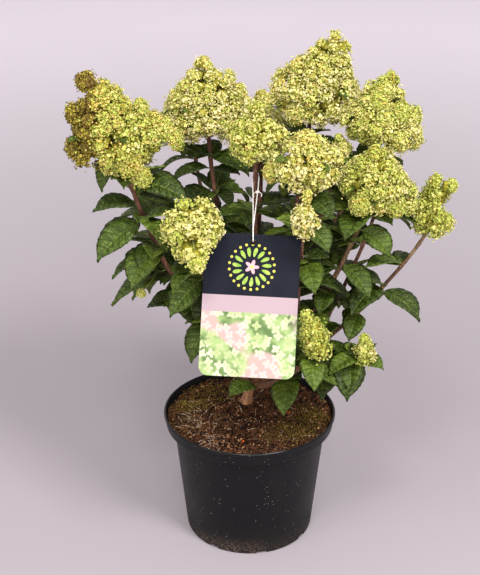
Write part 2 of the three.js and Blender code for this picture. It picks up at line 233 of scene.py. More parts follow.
def unit(v):
    return v / np.maximum(np.linalg.norm(v, axis=-1, keepdims=True), 1e-12)


def evenTurns(count):
    # angles spread evenly round a circle
    return np.arange(count) * 2 * math.pi / count


def compass(angle):
    # the level direction at an angle from +X
    return np.array([math.cos(angle), math.sin(angle), 0])


def axesFrom(normals, spins):
    # three square axes for each normal, the first two turned about it by the spin
    normals = unit(np.asarray(normals, float))
    reference = np.where(np.abs(normals[:, 2:]) < 0.9, [[0.0, 0.0, 1.0]], [[1.0, 0.0, 0.0]])
    first = unit(np.cross(reference, normals))
    second = np.cross(normals, first)
    c = np.cos(np.broadcast_to(spins, len(normals)))[:, None]
    s = np.sin(np.broadcast_to(spins, len(normals)))[:, None]
    return np.stack([first * c + second * s, second * c - first * s, normals], axis=1)


def ripple(points, wavelength, seed, waves=9):
    # sum of sine waves that run in drawn directions, from about -1 to 1
    k = np.arange(waves)
    heading = draw(seed + k, 0, 2 * math.pi)
    lift = draw(seed + 40 + k, -1, 1)
    flat = np.sqrt(1 - lift ** 2)
    across = np.stack([np.cos(heading) * flat, np.sin(heading) * flat, lift], axis=1)
    pitch = wavelength * draw(seed + 80 + k, 0.6, 1.5)
    phase = points @ (across * (2 * math.pi / pitch)[:, None]).T + draw(seed + 120 + k, 0, 6.28)
    return np.sin(phase).sum(-1) / math.sqrt(waves) / 1.4


def gridFaces(rows, columns, wrapColumns=False, wrapRows=False):
    # quads of a grid of points numbered row by row
    r = np.arange(rows if wrapRows else rows - 1)[:, None]
    c = np.arange(columns if wrapColumns else columns - 1)[None]
    nextR, nextC = (r + 1) % rows, (c + 1) % columns
    corners = [r * columns + c, r * columns + nextC, nextR * columns + nextC, nextR * columns + c]
    return np.stack(corners, axis=-1).reshape(-1, 4)


def closedRings(rows, sides):
    # the quads of wrapped rings, then triangles to one last point at each end
    k = np.arange(sides)
    nextK, n, none = (k + 1) % sides, rows * sides, np.full(sides, -1)
    low = np.stack([nextK, k, np.full(sides, n), none], axis=1)
    high = np.stack([n - sides + k, n - sides + nextK, np.full(sides, n + 1), none], axis=1)
    return np.concatenate([gridFaces(rows, sides, True), low, high])


class Heap:
    # points and faces of one joined piece, with a material number for each face

    def __init__(self):
        self.points, self.faces, self.tints, self.marks, self.count = [], [], [], [], 0

    def add(self, points, faces, tint=0, marks=None):
        # a triangle's fourth corner is below 0; marks are the points' places in a UV map
        faces = np.asarray(faces)
        if marks is not None:
            self.marks.append(marks)
        if faces.shape[1] == 3:
            faces = np.column_stack([faces, np.full(len(faces), -1)])
        self.points.append(np.asarray(points, float).reshape(-1, 3))
        self.faces.append(np.where(faces < 0, -1, faces + self.count))
        self.tints.append(np.broadcast_to(tint, len(faces)))
        self.count += len(self.points[-1])

    def stamp(self, shape, places, turns, sizes, tints):
        # copies of a small shape: place + size * (the shape's point along the three axes of its turn)
        points, faces = shape
        made = np.einsum("pj,njk->npk", points, turns) * np.reshape(sizes, (-1, 1, 1)) + places[:, None]
        first = (np.arange(len(places)) * len(points))[:, None, None]
        all3 = faces[None] + first
        self.add(made, all3.reshape(-1, faces.shape[1]), np.repeat(tints, len(faces)))

    def mesh(self, name, materials=()):
        points, faces = np.concatenate(self.points), np.concatenate(self.faces)
        used = faces >= 0
        mesh = bpy.data.meshes.new(name)
        mesh.vertices.add(len(points))
        mesh.vertices.foreach_set("co", points.astype(np.float32).ravel())
        mesh.loops.add(int(used.sum()))
        mesh.loops.foreach_set("vertex_index", faces[used].astype(np.int32))
        mesh.polygons.add(len(faces))
        sizes = used.sum(1)
        mesh.polygons.foreach_set("loop_start", (np.cumsum(sizes) - sizes).astype(np.int32))
        for material in materials:
            mesh.materials.append(material)
        mesh.polygons.foreach_set("material_index", np.concatenate(self.tints).astype(np.int32))
        mesh.polygons.foreach_set("use_smooth", np.ones(len(faces), bool))
        mesh.update(calc_edges=True)
        mesh.validate()
        if self.marks:
            corner = np.zeros(len(mesh.loops), np.int32)
            mesh.loops.foreach_get("vertex_index", corner)
            flat = np.concatenate(self.marks).astype(np.float32)[corner]
            mesh.uv_layers.new(name="marks").data.foreach_set("uv", flat.ravel())
        return mesh

    def piece(self, name, materials, *nodes, slot=None):
        obj = link(bpy.data.objects.new(name, self.mesh(name, materials)))
        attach(obj, "root")
        if nodes:
            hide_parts(*nodes)
        print("  ", name, len(obj.data.loops) - 2 * len(obj.data.polygons), "triangles")
        return obj


def rods(heap, starts, ends, thickAt, thinAt, tint, sides=3):
    # thin straight sticks: a ring of points round each end, and one face over it
    frames = axesFrom(ends - starts, 0.0)
    turn = evenTurns(sides)
    ring = np.stack([np.cos(turn), np.sin(turn)], axis=1)
    around = np.einsum("sj,njk->nsk", ring, frames[:, :2])
    thick = np.reshape(np.broadcast_to(thickAt, len(starts)), (-1, 1, 1))
    thin = np.reshape(np.broadcast_to(thinAt, len(starts)), (-1, 1, 1))
    points = np.concatenate([starts[:, None] + around * thick, ends[:, None] + around * thin], axis=1)
    k = np.arange(sides)
    walls = np.stack([k, (k + 1) % sides, (k + 1) % sides + sides, k + sides], axis=1)
    caps = np.full((2, 4), -4 * sides * len(starts))
    caps[0, :sides] = k[::-1]
    caps[1, :sides] = k + sides
    faces = np.concatenate([walls, caps])[None] + (np.arange(len(starts)) * 2 * sides)[:, None, None]
    heap.add(points, faces.reshape(-1, 4), np.repeat(np.broadcast_to(tint, len(starts)), len(walls) + 2))


def tube(heap, line, radius, sides=12, tint=0, loop=False):
    # rings of points round a line: line + radius (side cos a + other sin a); both ends are drawn to a point,
    # or the last ring meets the first one
    line = np.asarray(line, float)
    ahead = unit(np.roll(line, -1, 0) - np.roll(line, 1, 0) if loop else np.gradient(line, axis=0))
    side = unit(np.cross([0.31, 0.95, 0.07], ahead))
    other = np.cross(ahead, side)
    turn = evenTurns(sides)
    wide = np.asarray(radius, float)
    wide = np.broadcast_to(wide if wide.ndim == 2 else wide.reshape(-1, 1), (len(line), sides))
    ring = np.cos(turn)[:, None] * side[:, None] + np.sin(turn)[:, None] * other[:, None]
    body = line[:, None] + wide[..., None] * ring
    if loop:
        heap.add(body, gridFaces(len(line), sides, True, True), tint)
        return
    ends = [line[:1] - ahead[:1] * wide[0].min() * 0.3, line[-1:] + ahead[-1:] * wide[-1].min() * 0.5]
    heap.add(np.concatenate([body.reshape(-1, 3), *ends]), closedRings(len(line), sides), tint)


# The plant's plan: one entry for each shoot, grown by the same rule as the solids

trunk = {"foot": (-0.004, 0.022, 0.1463), "lean": (0.007, -0.008, 0.038), "neck": 4.9 * mm, "flare": 5 * mm,
         "swell": 4.2 * mm}
stem = {"footRadius": 3.3 * mm, "tipRadius": 1.95 * mm, "sideShare": 0.8, "outward": 0.12, "seat": 6.6 * mm}
shoots = [
    {"name": "left", "parent": "trunk", "at": 0.8, "bare": 0.36, "pairs": 5, "blade": 0.080, "turn": 20,
     "base": (-0.132, -0.032, 0.462), "tip": (-0.161, -0.036, 0.550), "wide": 0.047, "tone": "olive",
     "lobes": [(-0.171, -0.034, 0.508, 0.015), (-0.173, -0.034, 0.473, 0.015),
               (-0.161, -0.035, 0.540, 0.012), (-0.122, -0.062, 0.463, 0.016)]},
    {"name": "back_left", "parent": "trunk", "at": 1, "bare": 0.46, "pairs": 4, "blade": 0.066, "turn": 50,
     "base": (-0.046, 0.045, 0.470), "tip": (-0.049, 0.045, 0.547), "wide": 0.050, "tone": "cream",
     "lobes": [(-0.087, 0.040, 0.468, 0.014)]},
    {"name": "centre", "parent": "trunk", "at": 1, "bare": 0.46, "pairs": 4, "blade": 0.060, "turn": 0,
     "base": (0.005, -0.038, 0.473), "tip": (0.006, -0.038, 0.517), "wide": 0.035, "tone": "lime",
     "lobes": [(0.014, -0.041, 0.470, 0.013)]},
    {"name": "top", "parent": "trunk", "at": 1, "bare": 0.46, "pairs": 4, "blade": 0.064, "turn": 30,
     "base": (0.067, 0.060, 0.490), "tip": (0.092, 0.056, 0.573), "wide": 0.054, "tone": "golden",
     "lobes": [(0.023, 0.046, 0.495, 0.015)]},
    {"name": "right", "parent": "trunk", "at": 0.95, "bare": 0.38, "pairs": 5, "blade": 0.070, "turn": 75,
     "base": (0.124, -0.045, 0.427), "tip": (0.124, -0.050, 0.480), "wide": 0.040, "tone": "lime",
     "lobes": [(0.155, -0.042, 0.427, 0.015)]},
    {"name": "far_right", "parent": "trunk", "at": 0.72, "bare": 0.38, "pairs": 5, "blade": 0.066,
     "turn": 10, "base": (0.191, -0.026, 0.387), "tip": (0.190, -0.030, 0.441), "wide": 0.025,
     "tone": "green", "lobes": [(0.203, -0.030, 0.430, 0.009), (0.200, -0.030, 0.391, 0.011)]},
    {"name": "front_left", "parent": "trunk", "at": 0.75, "bare": 0.42, "pairs": 4, "blade": 0.064,
     "turn": 60, "base": (-0.060, -0.094, 0.425), "tip": (-0.051, -0.144, 0.385), "wide": 0.036,
     "tone": "lime", "sink": 0.010},
    {"name": "back", "parent": "trunk", "at": 0.9, "bare": 0.42, "pairs": 4, "blade": 0.068, "turn": 40,
     "base": (0.014, 0.122, 0.424), "tip": (0.014, 0.160, 0.478), "wide": 0.038, "tone": "cream"},
    {"name": "low_front", "parent": "trunk", "at": 0.7, "bare": 0.4, "pairs": 3, "blade": 0.054, "turn": 80,
     "base": (0.067, -0.118, 0.290), "tip": (0.053, -0.138, 0.337), "wide": 0.020, "tone": "green",
     "small": True},
    {"name": "behind_left", "parent": "back_left", "at": 0.34, "bare": 0.26, "pairs": 3, "blade": 0.062,
     "turn": 15, "base": (-0.067, 0.112, 0.450), "tip": (-0.066, 0.140, 0.508), "wide": 0.036,
     "tone": "lime"},
    {"name": "upper_right", "parent": "top", "at": 0.4, "bare": 0.3, "pairs": 3, "blade": 0.062, "turn": 35,
     "base": (0.133, 0.006, 0.472), "tip": (0.143, 0.008, 0.538), "wide": 0.043, "tone": "lime",
     "lobes": [(0.162, -0.005, 0.480, 0.013)]},
    {"name": "behind_right", "parent": "back", "at": 0.3, "bare": 0.28, "pairs": 4, "blade": 0.064,
     "turn": 55, "base": (0.084, 0.122, 0.374), "tip": (0.086, 0.152, 0.424), "wide": 0.035,
     "tone": "cream"},
    {"name": "side_right", "parent": "far_right", "at": 0.24, "bare": 0.28, "pairs": 4, "blade": 0.062,
     "turn": 70, "base": (0.150, 0.084, 0.380), "tip": (0.158, 0.104, 0.434), "wide": 0.031,
     "tone": "golden"},
    {"name": "side_left", "parent": "left", "at": 0.3, "bare": 0.28, "pairs": 4, "blade": 0.062, "turn": 5,
     "base": (-0.132, 0.076, 0.424), "tip": (-0.144, 0.090, 0.482), "wide": 0.032, "tone": "golden"},
    {"name": "middle", "parent": "right", "at": 0.3, "bare": 0.3, "pairs": 4, "blade": 0.060, "turn": 25,
     "base": (0.054, -0.076, 0.461), "tip": (0.053, -0.081, 0.502), "wide": 0.040, "tone": "golden",
     "lobes": [(0.023, -0.080, 0.461, 0.012)]},
    {"name": "front", "parent": "middle", "at": 0.8, "bare": 0.3, "pairs": 1, "blade": 0.044, "turn": 85,
     "base": (0.051, -0.113, 0.414), "tip": (0.053, -0.120, 0.454), "wide": 0.014, "tone": "cream",
     "small": True},
    {"name": "low_right", "parent": "far_right", "at": 0.34, "bare": 0.26, "pairs": 3, "blade": 0.052,
     "turn": 45, "base": (0.120, -0.085, 0.261), "tip": (0.116, -0.090, 0.290), "wide": 0.011,
     "tone": "green", "small": True},
    {"name": "inner_right", "parent": "top", "at": 0.44, "bare": 0.34, "pairs": 2, "blade": 0.048,
     "turn": 12, "base": (0.097, -0.005, 0.453), "tip": (0.090, -0.005, 0.476), "wide": 0.011,
     "tone": "lime", "small": True},
]


def pathPoint(path, t):
    # (1-t)^2 start + 2 (1-t) t bend + t^2 end
    start, bend, end = path
    t = np.asarray(t, float)[..., None]
    return (1 - t) ** 2 * start + 2 * (1 - t) * t * bend + t ** 2 * end


def growPath(shoot):
    # out of the fork sideways first, then up to the foot of the flower head
    end = np.array(shoot["base"])
    if shoot["parent"] == "trunk":
        start = np.array(trunk["foot"]) + np.array(trunk["lean"]) * shoot["at"]
        start = start + unit((end - start) * (1, 1, 0)) * stem["seat"]
    else:
        start = pathPoint(paths[shoot["parent"]], shoot["at"])
    out = 0.5 + stem["outward"]
    bend = mix(start, end, np.array([out, out, 1 - out]))
    return start, bend, end


paths = {}
for shoot in shoots:
    paths[shoot["name"]] = growPath(shoot)


def stemRadius(shoot, t):
    share = 1 if shoot["parent"] == "trunk" else stem["sideShare"]
    return share * mix(stem["footRadius"], stem["tipRadius"], np.asarray(t, float) ** 0.7)


def nodesOf(shoot):
    # where the leaf pairs stand along the stem
    high = (np.arange(shoot["pairs"]) + 0.45) / shoot["pairs"]
    return mix(shoot["bare"] + 0.04, 0.97, high)


makeCamera()
makeLamps()
print("camera and light")


# Trunk and stems

bark = {
    "sides": 14, "step": 2.6 * mm, "ridge": 0.05, "knot": 0.16, "knotLength": 3.2 * mm,
    "girth": 1.15, "otherGirths": {"middle": 1.0, "far_right": 0.9},  # thickness against the solids' stems
}


def barkFinish():
    material, where, plug = newFinish("bark", 0.78, Specular_IOR_Level=0.25)
    height = where.part("Z")
    grain = noise(where, 260, 4, 0.6, (1, 1, 0.16))
    patches = noise(where, 60, 3, 0.55, (1, 1, 0.5))
    spots = where.node("ShaderNodeTexVoronoi", {}, {"Vector": where, "Scale": 520.0, "Randomness": 1.0})
    lenticels = (1 - spots.step(0.14, 0.32)) * noise(where, 130, 1).step(0.4, 0.55)
    foot = height.step(0.162, 0.2).tint((198, 140, 96), (118, 80, 58))
    old = (patches.step(0.35, 0.65) * 0.45).tint(foot, (96, 62, 44))
    ruddy = patches.step(0.4, 0.62).tint((126, 84, 64), (92, 54, 43))
    tan = patches.step(0.4, 0.62).tint((140, 116, 78), (112, 84, 58))
    upper = height.step(0.29, 0.37) * where.part("X").step(0.06, 0.10)
    young = (upper * noise(where, 14, 1).step(0.3, 0.5)).tint(ruddy, tan)
    wood = height.step(0.18, 0.29).tint(old, young)
    streaked = (grain.step(0.35, 0.6) * 0.55).tint(wood, (58, 38, 30))
    pale = (lenticels * 0.85).tint(streaked, (206, 178, 148))
    relief = grain * 0.7 + patches * 0.5 + lenticels * 0.3
    plug(Base_Color=pale, Normal=bump(relief, 0.5 * mm, 0.8), Roughness=0.62 + 0.25 * grain)
    return material


def youngFinish(name, first, second):
    material, where, plug = newFinish(name, 0.55)
    grain = noise(where, 240, 2, 0.5, (1, 1, 0.2))
    plug(Base_Color=grain.step(0.3, 0.7).tint(first, second), Normal=bump(grain, 0.15 * mm, 0.5))
    return material


def growTrunk(heap):
    # neck + root flare that dies away upwards + head swelling, all round a leaning axis
    foot, lean = np.array(trunk["foot"]), np.array(trunk["lean"])
    along = np.linspace(0, 1, 40)[:, None]
    turn = evenTurns(32)[None]
    radius = trunk["neck"] + np.exp(-6 * along) * trunk["flare"] * (1 + 0.3 * np.cos(4 * turn))
    radius = radius + np.maximum(0, (along - 0.5) / 0.5) ** 1.6 * trunk["swell"]
    line = foot - (0, 0, 0.004) + lean * along * (1, 1, 1.1)
    radius = radius * (1 + 0.05 * np.sin(7 * turn + 9 * along) + 0.04 * np.sin(13 * turn - 22 * along))
    radius[-1] *= 0.75
    tube(heap, line, radius, 32)


def growStem(heap, shoot, index):
    # the stem's own radius, lengthwise ridges, and a knot with two leaf scars at every joint
    path = paths[shoot["name"]]
    length = np.linalg.norm(path[2] - path[0])
    t = np.linspace(0, 1, int(length / bark["step"]))
    line = pathPoint(path, t)
    turn = evenTurns(bark["sides"])
    girth = bark["otherGirths"].get(shoot["name"], bark["girth"])
    ridges = 1 + bark["ridge"] * np.sin(3 * turn + 60 * t[:, None] * length)
    radius = stemRadius(shoot, t)[:, None] * girth * ridges
    joints = np.concatenate([np.linspace(0.06, shoot["bare"], 4), nodesOf(shoot)])
    for k, joint in enumerate(joints):
        near = np.exp(-((t - joint) * length / bark["knotLength"]) ** 2)[:, None]
        sides = np.abs(np.cos(turn - math.radians(shoot["turn"] + 90 * k)))
        radius = radius * (1 + near * bark["knot"] * (0.6 + sides))
    line = line + 0.25 * mm * np.stack([np.sin(90 * t * length + index), np.cos(70 * t * length + index),
                                        0 * t], axis=1)
    tube(heap, line, radius, bark["sides"])


wood = Heap()
growTrunk(wood)
for index, shoot in enumerate(shoots):
    growStem(wood, shoot, index)
woodNodes = ["trunk"] + [f"stem_{shoot['name']}" for shoot in shoots]
wood.piece("woodyStems", [barkFinish()], *woodNodes, slot="bark")
print("trunk and stems")


# Leaves

leaf = {
    "halfWidth": 0.29, "petiole": 0.09, "thickness": 0.4 * mm, "fold": 0.3, "tooth": 0.035,
    "columns": (-1, -0.72, -0.38, -0.04, 0.04, 0.38, 0.72, 1),  # the midrib lies between the middle two
    "strips": (0, 0.15, 0.58),  # a side vein and the two halves of the blade beyond it
    "cells": (5.6, 7.5, 1),     # small raised cells for each side vein, and across each half
    "veins": 7, "youngVeins": 4, "quilt": 0.036, "veinSlant": 0.3, "wave": 0.02,
    "axil": (0.42, 0.74),       # size of the young leaves beside each leaf, as a share of its blade
    "asides": (0, 18, -18, 36, -36, 54, -54),
    "petioleRadius": 0.8 * mm,
    "bracts": 5,                # small leaves within each large flower head
    "showFace": 0.3,            # how far the shown leaves on the right are rolled towards the viewer
    # room kept round the string and over the pot's rim
    "stringRoom": 0.010, "stringReach": 0.085, "rimRoom": 0.102, "rimHeight": 0.151,
}
# leaves that show well in front: shoot, place on it, tip of the leaf and its bend
shown = [
    ("left", 1.0, (-0.150, -0.050, 0.430), 1.6), ("left", 0.84, (-0.162, -0.045, 0.407), 1.0),
    ("left", 0.79, (-0.158, -0.055, 0.355), 0.9), ("left", 0.71, (-0.112, -0.060, 0.343), 1.1),
    ("left", 0.66, (-0.146, -0.040, 0.330), 0.9), ("left", 0.60, (-0.147, -0.045, 0.301), 0.6),
    ("front_left", 0.83, (-0.064, -0.085, 0.346), 1.0), ("front_left", 0.73, (-0.082, -0.095, 0.311), 0.7),
    ("back_left", 0.79, (-0.020, 0.010, 0.391), 1.2), ("back_left", 0.87, (-0.084, 0.025, 0.414), 1.2),
    ("back_left", 0.86, (-0.011, 0.020, 0.425), 1.0), ("far_right", 0.67, (0.181, -0.045, 0.282), 1.2),
    ("right", 0.71, (0.123, -0.065, 0.318), 1.1), ("far_right", 0.81, (0.119, -0.045, 0.345), 0.9),
    ("right", 0.93, (0.144, -0.055, 0.396), 1.3), ("far_right", 0.94, (0.146, -0.040, 0.401), 1.0),
    ("right", 0.86, (0.144, -0.050, 0.358), 1.2), ("right", 0.59, (0.072, -0.060, 0.297), 1.0),
    ("low_right", 0.60, (0.101, -0.100, 0.216), 1.6), ("low_right", 0.75, (0.139, -0.090, 0.248), 0.9),
    ("right", 0.82, (0.069, -0.060, 0.377), 0.9), ("middle", 0.61, (0.074, -0.060, 0.341), 1.0),
    ("middle", 0.47, (0.106, -0.040, 0.308), 1.0), ("low_front", 0.05, (-0.024, -0.030, 0.182), 1.2),
    ("left", 0.90, (-0.090, -0.015, 0.441), 1.1), ("far_right", 0.55, (0.106, -0.045, 0.258), 0.8),
    ("low_right", 0.05, (0.076, -0.085, 0.208), 1.3), ("back_left", 0.72, (-0.079, 0.020, 0.364), 1.1),
    ("left", 0.87, (-0.080, -0.020, 0.407), 1.1), ("left", 0.97, (-0.127, -0.062, 0.437), 1.3),
]
# leafFinish colours: upper side dark, mid, bright, yellowish, then the pale underside
greens = {
    "leafDark": ((32, 43, 5), (48, 62, 9)),
    "leafMid": ((41, 55, 7), (60, 76, 13)),
    "leafBright": ((52, 67, 10), (75, 92, 21)),
    "leafYoung": ((70, 86, 19), (95, 111, 33)),
    "leafUnder": ((74, 85, 30), (94, 103, 44)),
    "leafRib": ((62, 78, 18), (88, 103, 34)),
}


def leafFinish(name, dark, light):
    # read in leaf space: X counts the side veins, Y goes across. The blade sinks along the veins, which are
    # painted darker as shade, and between them stand small cells, the higher ones with painted glints
    material, where, plug = newFinish(name, 0.42, "UV", Specular_IOR_Level=0.2)
    mottle = noise(where, 0.9, 3, 0.6)
    offMiddle = (where.part("X").maths("FRACT", 0) - 0.5).maths("ABSOLUTE", 0)
    vein = offMiddle.step(0.34, 0.48)
    cells = where.node("ShaderNodeMapping", {}, {"Vector": where, "Scale": leaf["cells"]})
    spots = where.node("ShaderNodeTexVoronoi", {}, {"Vector": cells, "Scale": 1.0})
    raised = (1 - spots.step(0.1, 0.62)) * (1 - vein)
    # painted glints: pale spots on the raised cells stand in for highlights
    glints = raised * noise(where, 1.9, 2, 0.6).step(0.34, 0.54)
    # a painted highlight along the leaf's edge
    edge = where.part("Y").maths("ABSOLUTE", 0).step(0.93, 1.0)
    ground = mottle.step(0.3, 0.7).tint(dark, light)
    # the colour of the painted glints and of the painted edge highlight
    pale = np.array(light) * 0.8 + (62, 66, 54)
    # the veins painted darker as shade in their creases, the painted highlights over the rest
    colour = (glints * 0.75 + edge * 0.4).tint((vein * 0.4).tint(ground, np.array(dark) * 0.8), pale)
    plug(Base_Color=colour, Roughness=0.38 + 0.2 * mottle, Normal=bump(raised * 0.7 - vein, 0.5 * mm, 0.7))
    return material


def headFrame(shoot):
    base, tip = np.array(shoot["base"]) - (0, 0, shoot.get("sink", 0)), np.array(shoot["tip"])
    length = np.linalg.norm(tip - base)
    return base, (tip - base) / length, length


def outline(shoot, t, slope=1.9):
    # the head's radius at height t: it swells from a broad foot and closes like a cone to a blunt point
    t = np.clip(t, 0, 1)
    return shoot["wide"] * np.minimum(1, 0.74 + 2.6 * t) * (1 - t ** slope)


card = {
    "hole": (0.002, -0.088, 0.391), "width": 0.095, "length": 0.142, "thickness": 0.8 * mm, "lean": 27,
    "roll": 3, "holeRadius": 2.6 * mm, "above": 0.008, "corner": 0.009, "bow": 1.4 * mm,
    "stringTop": (0.004, -0.038, 0.441),
}


def cardAxes():
    # across, up and facing directions of the hanging card
    lean, roll = math.radians(card["lean"]), math.radians(-card["roll"])
    raised = np.array([0, math.sin(lean), math.cos(lean)])
    facing = np.array([0, -math.cos(lean), math.sin(lean)])
    flat = np.array([1.0, 0, 0])
    across = flat * math.cos(roll) + raised * math.sin(roll)
    return across, raised * math.cos(roll) - flat * math.sin(roll), facing


# the leaves stand open here, seen from the camera: x, y, z, radius
windows = [(0.169, -0.025, 0.322, 0.016), (0.189, -0.025, 0.299, 0.016), (0.182, -0.025, 0.349, 0.013),
           (0.135, -0.040, 0.275, 0.017), (0.135, -0.080, 0.224, 0.013), (0.146, -0.030, 0.370, 0.012),
           (0.092, -0.040, 0.280, 0.007), (-0.139, -0.040, 0.347, 0.009), (-0.120, -0.030, 0.259, 0.018),
           (-0.140, -0.040, 0.388, 0.009), (-0.076, 0.000, 0.428, 0.005), (0.102, -0.010, 0.325, 0.006),
           (0.044, -0.118, 0.398, 0.011), (0.120, -0.030, 0.359, 0.009), (0.142, -0.025, 0.332, 0.007),
           (-0.093, -0.030, 0.253, 0.012), (-0.179, -0.040, 0.426, 0.008), (0.210, -0.020, 0.367, 0.008),
           (0.145, -0.020, 0.229, 0.006), (0.016, -0.020, 0.409, 0.006), (-0.128, -0.020, 0.400, 0.005),
           (0.140, -0.020, 0.293, 0.005), (-0.140, -0.020, 0.428, 0.006), (-0.070, -0.020, 0.429, 0.005),
           (0.131, -0.020, 0.384, 0.005), (0.162, -0.020, 0.375, 0.005), (0.095, -0.020, 0.316, 0.005),
           (0.119, -0.020, 0.200, 0.005), (0.141, -0.020, 0.323, 0.005), (0.151, -0.020, 0.307, 0.005),
           (-0.174, -0.030, 0.443, 0.009), (0.139, -0.020, 0.377, 0.006), (0.179, -0.020, 0.366, 0.006),
           (0.088, -0.020, 0.323, 0.006), (0.103, -0.020, 0.309, 0.006), (0.112, -0.020, 0.349, 0.006)]
# and the flower heads here
headWindows = [(0.113, 0.056, 0.532, 0.009), (0.210, -0.020, 0.403, 0.012), (0.170, -0.020, 0.470, 0.012),
               (0.145, -0.020, 0.464, 0.012), (-0.160, -0.020, 0.447, 0.012), (0.030, -0.020, 0.467, 0.009),
               (0.090, 0.050, 0.499, 0.009), (0.101, 0.050, 0.490, 0.010), (0.040, 0.050, 0.484, 0.007),
               (0.100, -0.020, 0.454, 0.009), (0.091, -0.020, 0.447, 0.006), (0.112, -0.040, 0.409, 0.010)]
windowDepth = 0.09              # how far before and behind its middle a window reaches


def inWindow(points, openings=windows):
    # near the line from the camera through a window's middle
    for x, y, z, radius in openings:
        spot = np.array((x, y, z))
        sight = unit(np.array(shot["place"]) - spot)
        along = (points - spot) @ sight
        off = np.linalg.norm(points - spot - along[:, None] * sight, axis=1)
        if ((off < radius) & (np.abs(along) < windowDepth)).any():
            return True
    return False


def clashes(points, own):
    # does any of these points lie in a flower head, on the card, in the soil or in the pot's rim
    for shoot in shoots:
        base, axis, length = headFrame(shoot)
        t = (points - base) @ axis / length
        away = np.linalg.norm(points - base - np.outer(t * length, axis), axis=1)
        inside = (t > -0.02) & (t < 1) & (away < outline(shoot, t) * 0.9)
        if inside[(1 if shoot["name"] == own else 0):].any():
            return True
    fromHole = points - np.array(card["hole"])
    local = fromHole @ np.stack(cardAxes()).T
    onCard = (np.abs(local[:, 0]) < card["width"] / 2 + 0.001) & (local[:, 1] < card["above"] + 0.001)
    onCard &= (local[:, 1] > card["above"] - card["length"] - 0.001) & (np.abs(local[:, 2]) < 0.004)
    # and nothing hangs before the string
    string = unit(np.array(card["stringTop"]) - np.array(card["hole"]))
    along = fromHole @ string
    off = np.linalg.norm(fromHole - along[:, None] * string, axis=1)
    onString = (off < leaf["stringRoom"]) & (along > 0) & (along < leaf["stringReach"])
    radius = np.hypot(points[:, 0], points[:, 1])
    inPot = (points[:, 2] < leaf["rimHeight"]) & (radius < leaf["rimRoom"])
    return bool((onCard | onString | inPot).any()) or inWindow(points)


def leafArc(plan, share):
    # how far out and up the middle of the leaf lies at a share of its length, and its turned angle
    turned = plan["rise"] - plan["bend"] * share
    reach = (np.sin(plan["rise"]) - np.sin(turned)) * plan["length"] / plan["bend"]
    lift = (np.cos(turned) - np.cos(plan["rise"])) * plan["length"] / plan["bend"]
    return reach, lift, turned


def leafPlans():
    # the rule of the solids, with a small young pair added beside each leaf
    plans = []
    for index, shoot in enumerate(shoots):
        for pair, t in enumerate(nodesOf(shoot)):
            high = (pair + 0.45) / shoot["pairs"]
            root = pathPoint(paths[shoot["name"]], t)
            for twin in (0, 1):
                seed = 100 * index + 10 * pair + twin
                grown = {
                    "length": shoot["blade"] * (1 - 0.15 * high) * draw(seed, 0.9, 1.08),
                    "rise": mix(0.05, 0.5, high) + draw(seed + 3, -0.12, 0.12),
                    "bend": draw(seed + 5, 1.2, 1.6),
                    "heading": shoot["turn"] + 90 * pair + 180 * twin + draw(seed + 7, -14, 14),
                    "root": root, "seed": seed, "own": shoot["name"], "tint": int(draw(seed + 9, 0, 2.99)),
                    "veins": leaf["veins"],
                }
                plans.append(grown)
                for side in (-1, 1):
                    seed += 5000
                    young = dict(grown, seed=seed, tint=int(draw(seed + 12, 0.6, 3.99)))
                    young["veins"] = leaf["youngVeins"]
                    young["length"] = grown["length"] * draw(seed + 11, *leaf["axil"])
                    young["rise"] = grown["rise"] + draw(seed + 13, 0.1, 0.6)
                    young["bend"] = draw(seed + 15, 0.5, 1.2)
                    young["heading"] = grown["heading"] + draw(seed + 17, 26, 60) * side
                    plans.append(young)
    return plans


def shownPlans():
    # an arc of the given bend over the straight line from root to tip
    plans = []
    for k, (name, t, tip, bend) in enumerate(shown):
        root = pathPoint(paths[name], t)
        across, down = np.hypot(*(np.array(tip) - root)[:2]), tip[2] - root[2]
        chord = math.hypot(across, down)
        heading = math.atan2(tip[1] - root[1], tip[0] - root[0])
        plans.append({
            "length": chord * bend / (2 * math.sin(bend / 2)), "rise": math.atan2(down, across) + bend / 2,
            "bend": bend, "heading": math.degrees(heading), "root": root, "seed": 15000 + 10 * k,
            "roll": -leaf["showFace"] * max(0, math.cos(heading)), "own": name,
            "tint": int(draw(15005 + 7 * k, 0, 2.4)), "veins": leaf["veins"],
        })
    return plans


def bractPlans():
    # small leaves that look out between the tufts of each large head
    plans = []
    for index, shoot in enumerate(shoots):
        base, axis, length = headFrame(shoot)
        for k in range(leaf["bracts"] if shoot["wide"] > 0.037 else 0):
            seed = 16000 + 100 * index + 10 * k
            heading = shoot["turn"] + 137.5 * k
            spin, t = compass(math.radians(heading)), draw(seed, 0.02, 0.42)
            root = base + axis * t * length + spin * outline(shoot, t) * 0.6
            if inWindow((root + 0.016 * spin)[None], headWindows):
                continue
            plans.append({
                "length": draw(seed + 1, 0.017, 0.024), "rise": draw(seed + 2, 0.0, 0.5), "seed": seed,
                "bend": draw(seed + 3, 0.6, 1.2), "heading": heading, "veins": leaf["youngVeins"],
                "root": root, "own": shoot["name"], "tint": int(draw(seed + 4, 1, 2.99)),
            })
    return plans


def placeLeaf(plan):
    # turned aside until it is clear, and left out if no turn frees it
    share = np.array([0.0, 0.35, 0.6, 0.8, 1.0])
    reach, lift, _ = leafArc(plan, share)
    for aside in leaf["asides"]:
        out = compass(math.radians(plan["heading"] + aside))
        side = np.cross(out, [0, 0, 1])
        middle = plan["root"] + np.outer(reach, out) + np.outer(lift, [0, 0, 1])
        half = leaf["halfWidth"] * plan["length"] * 0.8
        ends = [middle, middle[1:4] + side * half, middle[1:4] - side * half]
        if not clashes(np.concatenate(ends), plan["own"]):
            return out
    return None


def leafShape(s):
    # half-width along the blade: s^0.73 (1-s)^1.1, widest at 0.4, drawn in to a long point
    full = 3.42 * s ** 0.73 * (1 - s) ** 1.1
    return full * (1 - 0.3 * np.exp(-((s - 0.93) / 0.07) ** 2))


